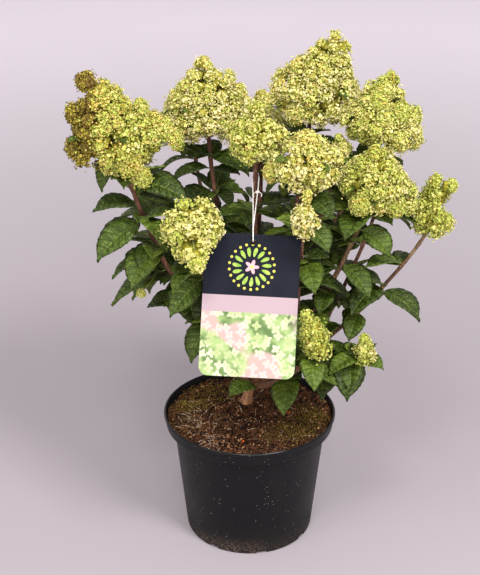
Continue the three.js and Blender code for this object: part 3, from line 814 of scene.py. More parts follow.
def growLeaf(heap, plan, out):
    # a grid with three rows for each side vein: out along the arc, across by the outline with its teeth, up
    # by the fold, the blade that swells between the veins and a wavy edge; the underside lies a thickness
    # lower
    veins, seed, length = plan["veins"], plan["seed"], plan["length"]
    row = np.append(np.arange(veins)[:, None] + np.array(leaf["strips"]), veins)[:, None] / veins
    w = np.array(leaf["columns"], float)[None]
    rows, columns = row.size, w.size
    s = row + leaf["veinSlant"] * np.sin(math.pi * row) ** 0.8 * np.abs(w) * (1 - row)
    reach, lift, turned = leafArc(plan, mix(leaf["petiole"], 1, s))
    half = leaf["halfWidth"] * length * np.maximum(leafShape(np.clip(s, 0.004, 0.996)), 0.035)
    comb = np.append(np.tile([1, -0.7, 0.1], veins), 0)[:, None] * (np.abs(w) == 1)
    across = half * w * (1 + leaf["tooth"] * comb)
    swell = np.append(np.tile([0, 0.1, 1], veins), 0)[:, None] * (1 - np.abs(w) ** 3) * (np.abs(w) > 0.1)
    relief = leaf["quilt"] * length * (swell - 0.5 * (np.abs(w) < 0.1))
    wave = leaf["wave"] * length * np.sin(9 * s + 3 * w + seed) * w ** 2 * s ** 0.5
    fold = leaf["fold"] * draw(seed + 21, 0.6, 1.25)
    up = fold * np.abs(across) * (1 - 0.35 * np.abs(w)) + relief + wave
    roll = draw(seed + 23, -0.4, 0.4) + plan.get("roll", 0)
    side, rise = np.cross(out, [0.0, 0, 1]), np.array([0, 0, 1.0])
    normal = rise * np.cos(turned)[..., None] - out * np.sin(turned)[..., None]
    rolledSide = side * math.cos(roll) + normal * math.sin(roll)
    rolledUp = normal * math.cos(roll) - side * math.sin(roll)
    middle = plan["root"] + reach[..., None] * out + lift[..., None] * rise
    top = middle + across[..., None] * rolledSide + up[..., None] * rolledUp
    inner = np.zeros((rows, columns), bool)
    inner[1:-1, 1:-1] = True
    under = np.arange(rows * columns).reshape(rows, columns)
    under[inner] = rows * columns + np.arange(inner.sum())
    faces = gridFaces(rows, columns)
    tints = np.full((rows - 1, columns - 1), plan["tint"])
    tints[:, columns // 2 - 1] = 5
    points = np.concatenate([top.reshape(-1, 3), (top - leaf["thickness"] * rolledUp)[inner]])
    marks = np.stack([row * veins + seed % 97 * 8 + 0 * w, w + 0 * row], axis=-1)
    marks = np.concatenate([marks.reshape(-1, 2), marks[inner]])
    # both sides of a quad are split along the same diagonal, so that neither shows through the other
    heap.add(points, np.concatenate([np.roll(faces[:, ::-1], 1, axis=1), under.ravel()[faces]]),
             np.concatenate([tints.ravel(), np.full(len(faces), 4)]), marks)
    reach, lift, _ = leafArc(plan, np.linspace(0, leaf["petiole"] + 0.03, 5))
    petiole = plan["root"] + reach[:, None] * out + (lift[:, None] - 0.3 * mm) * rise
    tube(stalks, petiole, leaf["petioleRadius"] * min(1, length / 0.05), 6, 0)


stalks = Heap()
leafHeaps = [Heap(), Heap()]
leafSplit = 0.02                # x that parts the left half from the right
planned = leafPlans()
grown = 0
for plan in planned:
    out = placeLeaf(plan)
    if out is not None:
        grown += 1
        growLeaf(leafHeaps[int(plan["root"][0] >= leafSplit)], plan, out)
for plan in shownPlans() + bractPlans():
    growLeaf(leafHeaps[int(plan["root"][0] >= leafSplit)], plan, compass(math.radians(plan["heading"])))
leafLooks = [leafFinish(name, *pair) for name, pair in greens.items()]
big = [shoot for shoot in shoots if not shoot.get("small")]
small = [f"shoot_{shoot['name']}" for shoot in shoots if shoot.get("small")]
leafNodes = [f"leaves_{shoot['name']}" for shoot in big]
leafHeaps[0].piece("leavesLeftHalf", leafLooks, *leafNodes[:7], slot="leaf")
leafHeaps[1].piece("leavesRightHalf", leafLooks, *leafNodes[7:], *small, slot="leaf")
print("leaves:", grown, "of", len(planned))


# Flower heads

bloom = {
    "pitch": 14.5 * mm,         # from one tuft of florets to the next
    "tuftRadius": 8.6 * mm, "uneven": (0.82, 1.26),
    "heave": 3.4 * mm,          # how far whole clumps stand out or sink
    "heaveLength": 0.034,       # and how wide they are
    "slope": 1.6,               # the head's outline falls as 1 - t^slope
    # heads with another fall of the outline, and the share of their width that they keep
    "shapes": {"front_left": (0.75, 1.06), "top": (1.3, 1.0), "centre": (1.4, 1.0), "front": (1.6, 0.9),
               "low_front": (1.2, 0.88)},
    "gaps": 0.03,               # share of tufts left out
    "otherGaps": {"front_left": 0.22, "upper_right": 0.0},
    # and round these places none stand: x, y, z, radius
    "hollows": [
        (-0.166, -0.040, 0.452, 0.014), (-0.150, -0.045, 0.447, 0.012), (-0.095, -0.045, 0.457, 0.010),
        (-0.050, -0.102, 0.450, 0.014), (-0.034, -0.102, 0.449, 0.011), (-0.082, -0.120, 0.388, 0.012),
        (-0.066, -0.128, 0.379, 0.010), (-0.052, -0.124, 0.408, 0.007), (0.027, 0.058, 0.524, 0.013),
        (0.040, 0.058, 0.543, 0.012), (0.052, 0.058, 0.554, 0.010), (0.179, -0.005, 0.458, 0.015),
        (0.154, -0.045, 0.459, 0.012), (0.144, -0.045, 0.472, 0.010), (0.062, 0.030, 0.470, 0.013),
        (0.108, -0.060, 0.410, 0.013), (0.122, -0.060, 0.406, 0.013), (0.152, -0.050, 0.401, 0.012),
        (0.052, -0.120, 0.404, 0.010), (-0.078, -0.118, 0.399, 0.008), (-0.068, -0.122, 0.382, 0.008),
        (-0.022, -0.118, 0.402, 0.008),
    ],
    "perTuft": 50, "budsPerTuft": 46, "stalksPerTuft": 6,
    "atFoot": 3.9 * mm, "atTip": 2.8 * mm,  # a floret's width, at the head's foot and at its tip
    # clusters that reach out from a head's foot on long branches: x, y, z, size
    "spurs": {
        "left": [
            (-0.104, -0.038, 0.484, 0.017), (-0.092, -0.034, 0.487, 0.016), (-0.082, -0.036, 0.480, 0.015),
            (-0.152, -0.036, 0.524, 0.014), (-0.166, -0.036, 0.491, 0.012), (-0.112, -0.052, 0.447, 0.014),
            (-0.101, -0.034, 0.498, 0.014), (-0.114, -0.034, 0.510, 0.014), (-0.089, -0.034, 0.492, 0.012),
        ],
        "back_left": [
            (-0.028, 0.045, 0.522, 0.013), (-0.017, 0.045, 0.507, 0.014), (-0.010, 0.044, 0.493, 0.014),
        ],
        "right": [
            (0.156, -0.046, 0.416, 0.014), (0.142, -0.060, 0.420, 0.015), (0.110, -0.070, 0.425, 0.014),
        ],
        "upper_right": [
            (0.164, 0.0, 0.472, 0.015), (0.160, -0.004, 0.496, 0.016), (0.150, -0.018, 0.476, 0.015),
            (0.150, -0.012, 0.502, 0.014), (0.136, -0.016, 0.496, 0.014), (0.131, -0.006, 0.512, 0.014),
            (0.137, -0.004, 0.523, 0.013),
        ],
        "top": [(0.050, 0.030, 0.490, 0.016), (0.098, 0.030, 0.492, 0.015), (0.036, 0.048, 0.506, 0.015)],
    },
    "stray": 0.13,              # share of florets that stand clear of their tuft
    "browned": -0.150,          # the left head is brown beyond this x
    "patch": 0.030,             # width of the golden and lime patches on a head
    # a floret's place in the row of its head's colours is a sum of these shares; the shares for the head's
    # side and for florets sunk in a tuft are painted light and painted shade
    "shade": {"patch": 0.19, "side": 0.1, "tuft": 0.18, "floret": 0.24, "sunk": 0.38, "tip": 0.2},
    "heart": 0.66,              # the lump in a tuft's middle, as a share of its radius
    "inner": 0.95, "innerSink": 0.38,  # and the larger one behind it
    "stalk": 0.28 * mm, "branch": 0.6 * mm, "axis": 1.4 * mm,
    # side shoots in bud: root, place, size
    "budding": [((-0.098, -0.024, 0.331), (-0.114, -0.055, 0.320), 0.0040)],
}
petals = {
    "petalCream": ((204, 191, 136), (217, 205, 157)),
    "petalLime": ((200, 191, 112), (210, 202, 130)),
    "petalGreen": ((160, 166, 70), (181, 186, 92)),
    "petalGold": ((208, 180, 96), (222, 196, 118)),
    "petalOlive": ((150, 136, 48), (170, 155, 62)),
    "petalBrown": ((92, 72, 30), (118, 95, 46)),
    # tuftHeart is partly the green of a tuft's crowded middle and partly painted shade; headShade is painted
    # shade
    "tuftHeart": ((164, 155, 60), (182, 172, 76)),
    "headShade": ((134, 127, 36), (150, 142, 48)),
}
# shares of the petal colours above, for each tone of head
tones = {
    "cream": (0.44, 0.27, 0.08, 0.18, 0.03, 0.0),
    "lime": (0.15, 0.36, 0.39, 0.02, 0.08, 0.0),
    "golden": (0.36, 0.27, 0.08, 0.26, 0.03, 0.0),
    "olive": (0.07, 0.21, 0.27, 0.14, 0.27, 0.04),
    "green": (0.07, 0.24, 0.61, 0.0, 0.08, 0.0),
}


def floretShape(lift):
    # four cupped petals, each a fan of three faces from a narrow root over two sides and a blunt tip
    petal = np.array([(0.03, 0, 0), (0.28, -0.21, 0.11), (0.47, -0.12, 0.09), (0.47, 0.12, 0.09),
                      (0.28, 0.21, 0.11)])
    faces = np.array([(0, 1, 2), (0, 2, 3), (0, 3, 4)])
    points, all3 = [], []
    for k in range(4):
        turn = k * math.pi / 2
        tilt = lift + (0.14 if k % 2 else 0)
        x = petal[:, 0] * math.cos(tilt) - petal[:, 2] * math.sin(tilt)
        z = petal[:, 0] * math.sin(tilt) + petal[:, 2] * math.cos(tilt)
        points.append(np.stack([x * math.cos(turn) - petal[:, 1] * math.sin(turn),
                                x * math.sin(turn) + petal[:, 1] * math.cos(turn), z], axis=1))
        all3.append(faces + 5 * k)
    return np.concatenate(points), np.concatenate(all3)


def budShape():
    # a bead of four faces
    points = np.array([(1, 1, 1), (1, -1, -1), (-1, 1, -1), (-1, -1, 1)]) * 0.42
    return points, np.array([(0, 1, 2), (0, 3, 1), (0, 2, 3), (1, 3, 2)])


def heartShape():
    # an eight-sided lump, the crowded middle of a tuft
    points = np.array([(1, 0, 0), (0, 1, 0), (-1, 0, 0), (0, -1, 0), (0, 0, 1), (0, 0, -1.0)])
    faces = [(k, (k + 1) % 4, 4) for k in range(4)] + [((k + 1) % 4, k, 5) for k in range(4)]
    return points, np.array(faces)


def tuftsOf(shoot, index):
    # tufts wind round the head in rows one pitch apart: centre, facing, radius and height on the head
    base, axis, length = headFrame(shoot)
    turned = axesFrom(axis[None], 0.0)[0]
    slant = length + shoot["wide"] * 0.6
    pitch = min(bloom["pitch"], shoot["wide"] * 0.75)
    slope, kept = bloom["shapes"].get(shoot["name"], (bloom["slope"], 1.0))
    rows = max(2, int(round(slant / pitch)))
    hollows = np.array(bloom["hollows"])
    found = []
    for row in range(rows + 1):
        t = (row / rows) ** 0.9
        wide = outline(shoot, t, slope) * kept
        radius = min(bloom["tuftRadius"], shoot["wide"] * 0.46) * mix(1.05, 0.72, t)
        inset = max(0.0, wide - radius * 0.75)
        count = max(1, int(round(2 * math.pi * inset / pitch)))
        fall = (outline(shoot, t - 0.04) - outline(shoot, t + 0.04)) / (0.08 * length)
        for k in range(count):
            seed = 3000 + 400 * index + 20 * row + k
            angle = (k + 0.5 * (row % 2)) / count * 2 * math.pi + draw(seed, -0.2, 0.2) + index
            spin = turned[0] * math.cos(angle) + turned[1] * math.sin(angle)
            facing = unit(spin + axis * np.clip(fall, -0.8, 2.5)) if inset > 0 else axis
            height = min(t * length, length - radius * 0.8) + draw(seed + 3, -2, 2) * mm
            centre = base + axis * height + spin * inset * draw(seed + 5, 0.88, 1.04)
            heave = ripple(centre, bloom["heaveLength"], 700 + 9 * index) * min(1, shoot["wide"] / 0.045)
            missing = bloom["otherGaps"].get(shoot["name"], bloom["gaps"])
            away = np.linalg.norm(hollows[:, :3] - centre, axis=1)
            clear = (away > hollows[:, 3]).all() and not inWindow(centre[None], headWindows)
            if clear and (draw(seed + 21) > missing or shoot.get("small")):
                size = radius * draw(seed + 7, *bloom["uneven"])
                found.append((centre + facing * heave * bloom["heave"], facing, size, t, seed))
    if not shoot.get("small") and shoot["name"] != "front_left":
        for k in range(5):
            seed = 8000 + 40 * index + k
            spin = turned[0] * math.cos(k * 1.2566) + turned[1] * math.sin(k * 1.2566)
            centre = base + spin * shoot["wide"] * 0.42 + axis * draw(seed, 1, 6) * mm
            size = bloom["tuftRadius"] * draw(seed + 7, 0.85, 1.1)
            found.append((centre, unit(spin * 0.5 - axis), size, 0.0, seed))
    lobes = [*shoot.get("lobes", ()), *bloom["spurs"].get(shoot["name"], ())]
    for k, (x, y, z, size) in enumerate(lobes):
        centre = np.array((x, y, z))
        out = unit(centre - base - axis * ((centre - base) @ axis))
        for j in range(7):
            seed = 9000 + 100 * index + 10 * k + j
            facing = unit(out + 0.9 * axesFrom(out[None], j * 1.05)[0][0] * (j > 0))
            found.append((centre + facing * size * 0.45, facing, size * 0.5, 0.95, seed))
    return found


def growHead(heap, green, shoot, index):
    base, axis, length = headFrame(shoot)
    tufts = tuftsOf(shoot, index)
    centres, facings = (np.array([tuft[j] for tuft in tufts]) for j in (0, 1))
    sizes, t, seeds = (np.array([tuft[j] for tuft in tufts]) for j in (2, 3, 4))
    climb = np.clip((centres - base) @ axis - sizes * 1.1, 0, length)
    forks = base + climb[:, None] * axis
    rods(green, forks, centres, bloom["branch"], bloom["branch"] * 0.6, 1)
    tube(green, base + np.linspace(-0.002, length * 0.9, 12)[:, None] * axis,
         np.linspace(bloom["axis"], 0.5 * mm, 12), 7, 1)
    faded = (shoot["name"] == "left") & (centres[:, 0] < bloom["browned"])
    tuftTurns = axesFrom(facings, seeds)
    heap.stamp(heartShape(), centres, tuftTurns, sizes * bloom["heart"], np.where(faded, 4, 6))
    # behind each tuft a larger lump in the darker tone fills the head's inside: painted shade in its gaps
    onAxis = base + np.clip((centres - base) @ axis, 0, length)[:, None] * axis
    deeper = mix(centres, onAxis, bloom["innerSink"])
    heap.stamp(heartShape(), deeper, tuftTurns, sizes * bloom["inner"], np.where(faded, 5, 7))

    # florets by the golden angle over the outer part of each tuft
    per = bloom["perTuft"]
    k = np.arange(per)
    cosine = 1 - 0.95 * (k + 0.5) / per
    sine = np.sqrt(1 - cosine ** 2)
    turn = k * goldenAngle
    frames = axesFrom(facings, draw(seeds, 0, 6.28))
    local = np.stack([sine * np.cos(turn), sine * np.sin(turn), cosine], axis=1)
    out = np.einsum("kj,njc->nkc", local, frames)
    number = (seeds[:, None] * 37 + k[None] * 11) % 100003
    out = unit(out + np.stack([draw(number + j, -0.3, 0.3) for j in (1, 2, 3)], axis=-1))
    deep = draw(number + 5, 0.7, 1.14) + draw(number + 8, 0.1, 0.45) * (draw(number + 6) < bloom["stray"])
    places = centres[:, None] + out * (sizes[:, None] * deep)[..., None]
    width = mix(bloom["atFoot"], bloom["atTip"], t)[:, None] * draw(number + 7, 0.7, 1.3)
    if shoot["name"] == "front_left":
        width = width * mix(1.1, 1.8, t)[:, None]
    shares = np.cumsum(tones[shoot["tone"]])
    # the outermost florets of a tuft are the palest and those sunk in its sides the darkest, as painted
    # light and shade; those high on the head are darker buds, and its right side is painted paler as lit,
    # its left golden
    share = bloom["shade"]
    # painted shade: florets sunk in a tuft's sides take the darker colours
    sunk = 1 - np.clip((deep - 0.76) / 0.34, 0, 1) * local[None, :, 2]
    patch = share["patch"] * ripple(centres, bloom["patch"], 900 + index)
    # painted light: the head's right side takes the paler colours, its left the golden ones
    patch = patch - share["side"] * (centres - base)[:, 0] / shoot["wide"]
    luck = share["tuft"] * draw(seeds + 13)[:, None] + share["floret"] * draw(number + 9)
    luck = luck + share["sunk"] * sunk + patch[:, None] + share["tip"] * t[:, None] ** 2
    tint = np.searchsorted(shares, np.clip(luck, 0, 0.999))
    if shoot["name"] == "left":
        far = np.clip((bloom["browned"] - places[..., 0]) / 0.009, 0, 1)
        tint = np.where(draw(number + 15) < far * 0.93, 4 + (draw(number + 17) > 0.4), tint)
    kind, width, tint, spot = draw(number + 19).ravel(), width.ravel(), tint.ravel(), places.reshape(-1, 3)
    turns = axesFrom(out.reshape(-1, 3), draw(number.ravel() + 21, 0, 6.28))
    for low, high, lift in ((0, 0.4, 0.15), (0.4, 0.75, 0.5), (0.75, 1.01, 0.95)):
        pick = (kind >= low) & (kind < high)
        heap.stamp(floretShape(lift), spot[pick], turns[pick], width[pick], tint[pick])
    eyes = spot + turns[:, 2] * width[:, None] * 0.08
    heap.stamp(budShape(), eyes, turns, width * 0.24, np.where(tint > 3, 4, 2))
    few = (slice(None), slice(0, bloom["stalksPerTuft"]))
    starts = np.repeat(centres, bloom["stalksPerTuft"], axis=0)
    rods(green, starts, places[few].reshape(-1, 3), bloom["stalk"], bloom["stalk"] * 0.7, 2)

    # buds fill in between the florets
    number = (seeds[:, None] * 53 + np.arange(bloom["budsPerTuft"])[None] * 17) % 100003
    out = unit(facings[:, None] * 0.7 + np.stack([draw(number + j, -1, 1) for j in (1, 2, 3)], axis=-1))
    spot = centres[:, None] + out * (sizes[:, None] * draw(number + 5, 0.6, 0.98))[..., None]
    tint = np.searchsorted([0.68, 0.84], draw(number + 9)) + 2
    tint = np.where(faded[:, None], 4 + (draw(number + 11) > 0.5), tint).ravel()
    number = number.ravel()
    heap.stamp(budShape(), spot.reshape(-1, 3), axesFrom(out.reshape(-1, 3), number),
               draw(number + 7, 1.6, 2.9) * mm, tint)
    return len(tufts)


def growBudding(heap, green, root, place, size):
    # a ball of closed buds by the golden angle, on one short stalk
    k = np.arange(70)
    up = 1 - 1.9 * (k + 0.5) / len(k)
    turn, level = k * goldenAngle, np.sqrt(1 - up ** 2)
    out = np.stack([level * np.cos(turn), level * np.sin(turn), up], axis=1)
    places = place + out * (size * draw(k + 60, 0.7, 1.2))[:, None]
    heap.stamp(heartShape(), place[None], np.eye(3)[None], np.array([size * 0.8]), np.array([2]))
    heap.stamp(floretShape(0.6), places, axesFrom(out, k * 1.0), draw(k + 61, 2.6, 3.8) * mm, k % 2 + 1)
    rods(green, root[None], place[None], bloom["branch"], bloom["branch"], 1)


headLooks = [mottledFinish(name, 0.62, 300, *pair, Specular_IOR_Level=0.15) for name, pair in petals.items()]
headGroups = {
    "blossomLeft": ("left",),
    "blossomFront": ("front_left", "front", "low_front"),
    "blossomBackLeft": ("back_left", "behind_left"),
    "blossomBack": ("back", "behind_right"),
    "blossomMiddle": ("centre", "middle", "inner_right"),
    "blossomTop": ("top",),
    "blossomUpperRight": ("upper_right",),
    "blossomSides": ("side_left", "side_right"),
    "blossomRight": ("right", "far_right", "low_right"),
}
tufts = 0
for name, members in headGroups.items():
    heap = Heap()
    for index, shoot in enumerate(shoots):
        if shoot["name"] in members:
            tufts += growHead(heap, stalks, shoot, index)
    if name == "blossomLeft":
        for root, place, size in bloom["budding"]:
            growBudding(heap, stalks, np.array(root), np.array(place), size)
    heap.piece(name, headLooks, *[f"flowers_{m}" for m in members if f"flowers_{m}" in frame["nodes"]],
               slot="flower")
stalkLooks = [youngFinish("leafStalk", (96, 112, 52), (122, 96, 60)),
              youngFinish("flowerBranch", (126, 138, 66), (150, 150, 80)),
              youngFinish("flowerStalk", (140, 150, 74), (168, 168, 90))]
stalks.piece("stalks", stalkLooks, slot="leaf")
print("flower heads:", tufts, "tufts")


# Pot

pot = {
    "height": 0.150, "rim": 0.0985, "band": 0.096, "bandFoot": 0.136, "neck": 0.087, "neckHeight": 0.132,
    "foot": 0.0738, "wall": 2.2 * mm, "floor": 6 * mm, "segments": 192,
}
drain = {
    "count": 8, "first": -79, "width": 12 * mm, "height": 4 * mm, "from": 0.054, "hole": 4 * mm,
    "holeCircle": 0.062,
}


def potFinish():
    material, where, plug = newFinish("pot", 0.4, Specular_IOR_Level=0.22)
    height = where.part("Z")
    grain = noise(where, 420, 3, 0.6)
    smear = noise(where, 26, 4, 0.6, (1, 1, 0.35))
    specks = where.node("ShaderNodeTexVoronoi", {}, {"Vector": where, "Scale": 260.0, "Randomness": 1.0})
    dots = (1 - specks.step(0.06, 0.12)) * noise(where, 90, 1).step(0.48, 0.56)
    low = 1 - height.step(0.0, 0.05)
    edge = height.step(0.1475, 0.149)
    dusty = (low * 0.3 + smear.step(0.5, 0.8) * 0.2)
    # crumbs cling to the foot, most of them left of the middle
    aside = where.part("X") + 0.022
    near = 1 - (aside * aside).step(0.0004, 0.0022)
    dirt = noise(where, 700, 3, 0.7).step(0.5, 0.62) * (1 - height.step(0.002, 0.026)) * (0.3 + 0.7 * near)
    colour = dusty.tint((6, 6, 8), (36, 31, 28))
    dotted = (dots * 0.7).tint(colour, (190, 184, 176))
    plug(Base_Color=(dirt * 0.8).tint(dotted, (118, 98, 82)), Normal=bump(grain, 0.08 * mm, 0.4),
         Roughness=(0.3 + 0.3 * smear + 0.25 * low) * (1 - 0.45 * edge))
    return material


def roundOff(profile, size, steps=5):
    # each corner of an open outline becomes a small curve: (1-t)^2 a + 2 (1-t) t corner + t^2 b
    profile = np.asarray(profile, float)
    made = [profile[:1]]
    for before, corner, after in zip(profile[:-2], profile[1:-1], profile[2:]):
        a = corner + unit(before - corner) * min(size, np.linalg.norm(before - corner) * 0.45)
        b = corner + unit(after - corner) * min(size, np.linalg.norm(after - corner) * 0.45)
        t = np.linspace(0, 1, steps)[:, None]
        made.append((1 - t) ** 2 * a + 2 * (1 - t) * t * corner + t ** 2 * b)
    made.append(profile[-1:])
    return np.concatenate(made)


def revolve(profile, segments):
    # the outline (radius, height) turned about Z, closed at both poles by one point each
    turn = evenTurns(segments)
    ring = np.stack([np.cos(turn), np.sin(turn), 0 * turn], axis=1)
    body = profile[1:-1, None, :1] * ring + profile[1:-1, None, 1:] * np.array([0, 0, 1.0])
    poles = [(0, 0, profile[0, 1]), (0, 0, profile[-1, 1])]
    return np.concatenate([body.reshape(-1, 3), poles]), closedRings(len(profile) - 2, segments)


def makePot():
    # up the outside, over the stepped rim and down the inside
    wall, foot, neck, band, rim = (pot[name] for name in ("wall", "foot", "neck", "band", "rim"))
    low, high, top = pot["neckHeight"], pot["bandFoot"], pot["height"]
    profile = [
        (0, 0), (foot - 3 * mm, 0), (foot - 0.7 * mm, 0.7 * mm), (foot, 3 * mm),
        (neck, low), (neck + 1.6 * mm, low + 0.8 * mm), (band - 0.6 * mm, high - 1.2 * mm), (band, high),
        (band + 0.9 * mm, top - 4.6 * mm), (rim - 0.2 * mm, top - 3.6 * mm), (rim, top - 1.2 * mm),
        (rim - 1.2 * mm, top), (rim - wall, top - 0.6 * mm), (band - wall, high + 2.4 * mm),
        (neck - wall, low + 2.4 * mm), (foot - wall, pot["floor"]), (0, pot["floor"]),
    ]
    points, faces = revolve(roundOff(profile, 0.7 * mm), pot["segments"])
    heap = Heap()
    heap.add(points, faces)
    cutAway(heap.piece("potShell", [potFinish()], "pot", slot="pot"), drainCutter())


def drainCutter():
    # a box across the foot's edge and an upright bore for each drain, all closed and pointing outwards
    heap = Heap()
    box = np.array([(0, 1, 3, 2), (4, 6, 7, 5), (0, 4, 5, 1), (2, 3, 7, 6), (0, 2, 6, 4), (1, 5, 7, 3)])
    reach, half = (drain["from"], pot["foot"] + 0.005), drain["width"] / 2
    size = np.array([(r, s * half, z * drain["height"]) for r in reach for s in (-1, 1) for z in (-1, 1)])
    hole = [(0, -0.002), (drain["hole"], -0.002), (drain["hole"], 0.02), (0, 0.02)]
    bore, boreFaces = revolve(np.array(hole), 24)
    for k in range(drain["count"]):
        out = compass(math.radians(drain["first"] + 360 / drain["count"] * k))
        heap.add(size @ np.stack([out, np.cross([0, 0, 1], out), [0, 0, 1]]), box)
        heap.add(bore + out * drain["holeCircle"], boreFaces)
    return link(bpy.data.objects.new("drains", heap.mesh("drains")))


def cutAway(obj, cutter):
    # the cut mesh takes the place of the whole one, and the modifier and the cutter go
    cut = obj.modifiers.new("drains", "BOOLEAN")
    cut.operation = "DIFFERENCE"
    cut.solver = "EXACT"
    cut.use_self = True
    cut.object = cutter
    graph = bpy.context.evaluated_depsgraph_get()
    obj.data = bpy.data.meshes.new_from_object(obj.evaluated_get(graph))
    obj.data.set_sharp_from_angle(angle=math.radians(38))
    obj.modifiers.clear()
    bpy.data.objects.remove(cutter)


# Soil

soil = {
    "radius": 0.0945, "rings": 64, "segments": 200, "lump": 3.6 * mm,
    # radius and height, out along the dome and up the wall
    "dome": ((0, 0.146), (0.044, 0.146), (0.064, 0.1454), (0.082, 0.144), (0.0945, 0.1415)),
    "wall": ((0.072, 0.0066), (0.0848, 0.128), (0.0905, 0.1345)),
}


def soilHeight(x, y):
    # a low dome, uneven by three lengths of wave, flat where the trunk stands
    dome = np.interp(np.hypot(x, y), *np.array(soil["dome"]).T)
    flat = np.stack([x, y, 0 * x], axis=-1)
    rough = 0.5 * ripple(flat, 0.045, 11) + 0.35 * ripple(flat, 0.016, 31) + 0.25 * ripple(flat, 0.007, 51)
    near = np.exp(-(np.hypot(x - trunk["foot"][0], y - trunk["foot"][1]) / 0.012) ** 2)
    return dome + soil["lump"] * rough * (1 - near)


def soilFinish():
    material, where, plug = newFinish("soil", 0.95, Specular_IOR_Level=0.08)
    coarse = noise(where, 70, 4, 0.65)
    fine = noise(where, 480, 3, 0.7)
    moss = noise(where, 22, 3, 0.6).step(0.54, 0.66)
    peat = coarse.step(0.3, 0.7).tint((42, 26, 16), (104, 68, 44))
    dark = fine.step(0.35, 0.6).tint((17, 11, 8), peat)
    plug(Base_Color=(moss * 0.35).tint(dark, (78, 66, 28)), Normal=bump(coarse + fine * 0.6, 1.2 * mm, 0.9))
    return material


def makeSoil():
    # rings from the middle of the underside out to the wall, up it and over the top to its middle
    turn = evenTurns(soil["segments"])
    radius = np.linspace(1, 0.01, soil["rings"])[:, None] * soil["radius"]
    x, y = radius * np.cos(turn), radius * np.sin(turn)
    top = np.stack([x, y, soilHeight(x, y)], axis=-1)
    wide, high = np.array(soil["wall"]).T[..., None]
    wall = np.stack([wide * np.cos(turn), wide * np.sin(turn), high + 0 * turn], axis=-1)
    poles = [(0, 0, high[0, 0]), (0, 0, soilHeight(np.zeros(1), np.zeros(1))[0])]
    heap = Heap()
    heap.add(np.concatenate([wall.reshape(-1, 3), top.reshape(-1, 3), poles]),
             closedRings(len(wall) + len(top), soil["segments"]))
    heap.piece("soilBed", [soilFinish()], "soil", slot="soil")


# What lies on the soil: crumbs, fibres, moss and a few bright scraps

litter = {
    "crumbs": 6400, "crumbSize": (0.5 * mm, 2.2 * mm), "gathered": 0.16,
    "rimCrumbs": 160, "ledgeRadius": (0.0945, 0.0952), "ledgeHeight": (0.1405, 0.1425),
    "fibres": 380, "fibreLength": (4 * mm, 16 * mm), "fibreRadius": 0.24 * mm,
    "blades": 3400, "bladeLength": (1.4 * mm, 3.6 * mm),
    # where moss, crumbs and fibres gather: x, y, spread
    "moss": [(-0.049, 0.042, 0.022), (0.052, -0.042, 0.018), (0.071, -0.009, 0.014), (-0.069, 0.014, 0.014)],
    "heaps": [(0.088, 0.028, 0.007), (-0.020, -0.070, 0.013)],
    "tangles": [(-0.057, -0.018, 0.022), (-0.041, -0.064, 0.016), (0, 0, 0.070), (0, -0.020, 0.060)],
    "scraps": [(0.044, -0.004), (-0.007, -0.063)],
}
litterColours = {
    "crumbDark": ((15, 9, 6), (32, 18, 11)), "crumbBrown": ((72, 40, 22), (104, 64, 38)),
    "crumbTan": ((138, 98, 66), (178, 138, 98)), "mossBlade": ((66, 56, 18), (104, 84, 32)),
    "mossTip": ((128, 104, 46), (164, 136, 66)), "scrap": ((150, 60, 26), (184, 86, 44)),
    "paleFibre": ((186, 156, 128), (226, 204, 180)),
}


def onSoil(x, y):
    # points of the bed's surface, drawn in where they would pass its edge
    radius = np.hypot(x, y)
    shrink = np.minimum(1, (soil["radius"] - 0.0015) / np.maximum(radius, 1e-6))
    return np.stack([x * shrink, y * shrink, soilHeight(x * shrink, y * shrink)], axis=-1)


def spikeShape():
    # a blade of four faces, a unit high
    turn = evenTurns(3)
    foot = np.stack([np.cos(turn) * 0.16, np.sin(turn) * 0.16, 0 * turn], axis=1)
    return np.concatenate([foot, [(0, 0, 1)]]), np.array([(0, 1, 3), (1, 2, 3), (2, 0, 3), (0, 2, 1)])


def spread(count, seed, spots):
    # points drawn round the given spots, thinning outwards: spot + spread * sqrt(-log u) in any direction
    k = np.arange(count)
    which = (draw(k + seed) * len(spots)).astype(int)
    spot = np.array(spots)[which]
    far = spot[:, 2] * np.sqrt(-np.log(draw(k * 3 + seed + 1, 0.02, 1)))
    turn = draw(k * 7 + seed + 2, 0, 2 * math.pi)
    return spot[:, 0] + far * np.cos(turn), spot[:, 1] + far * np.sin(turn)


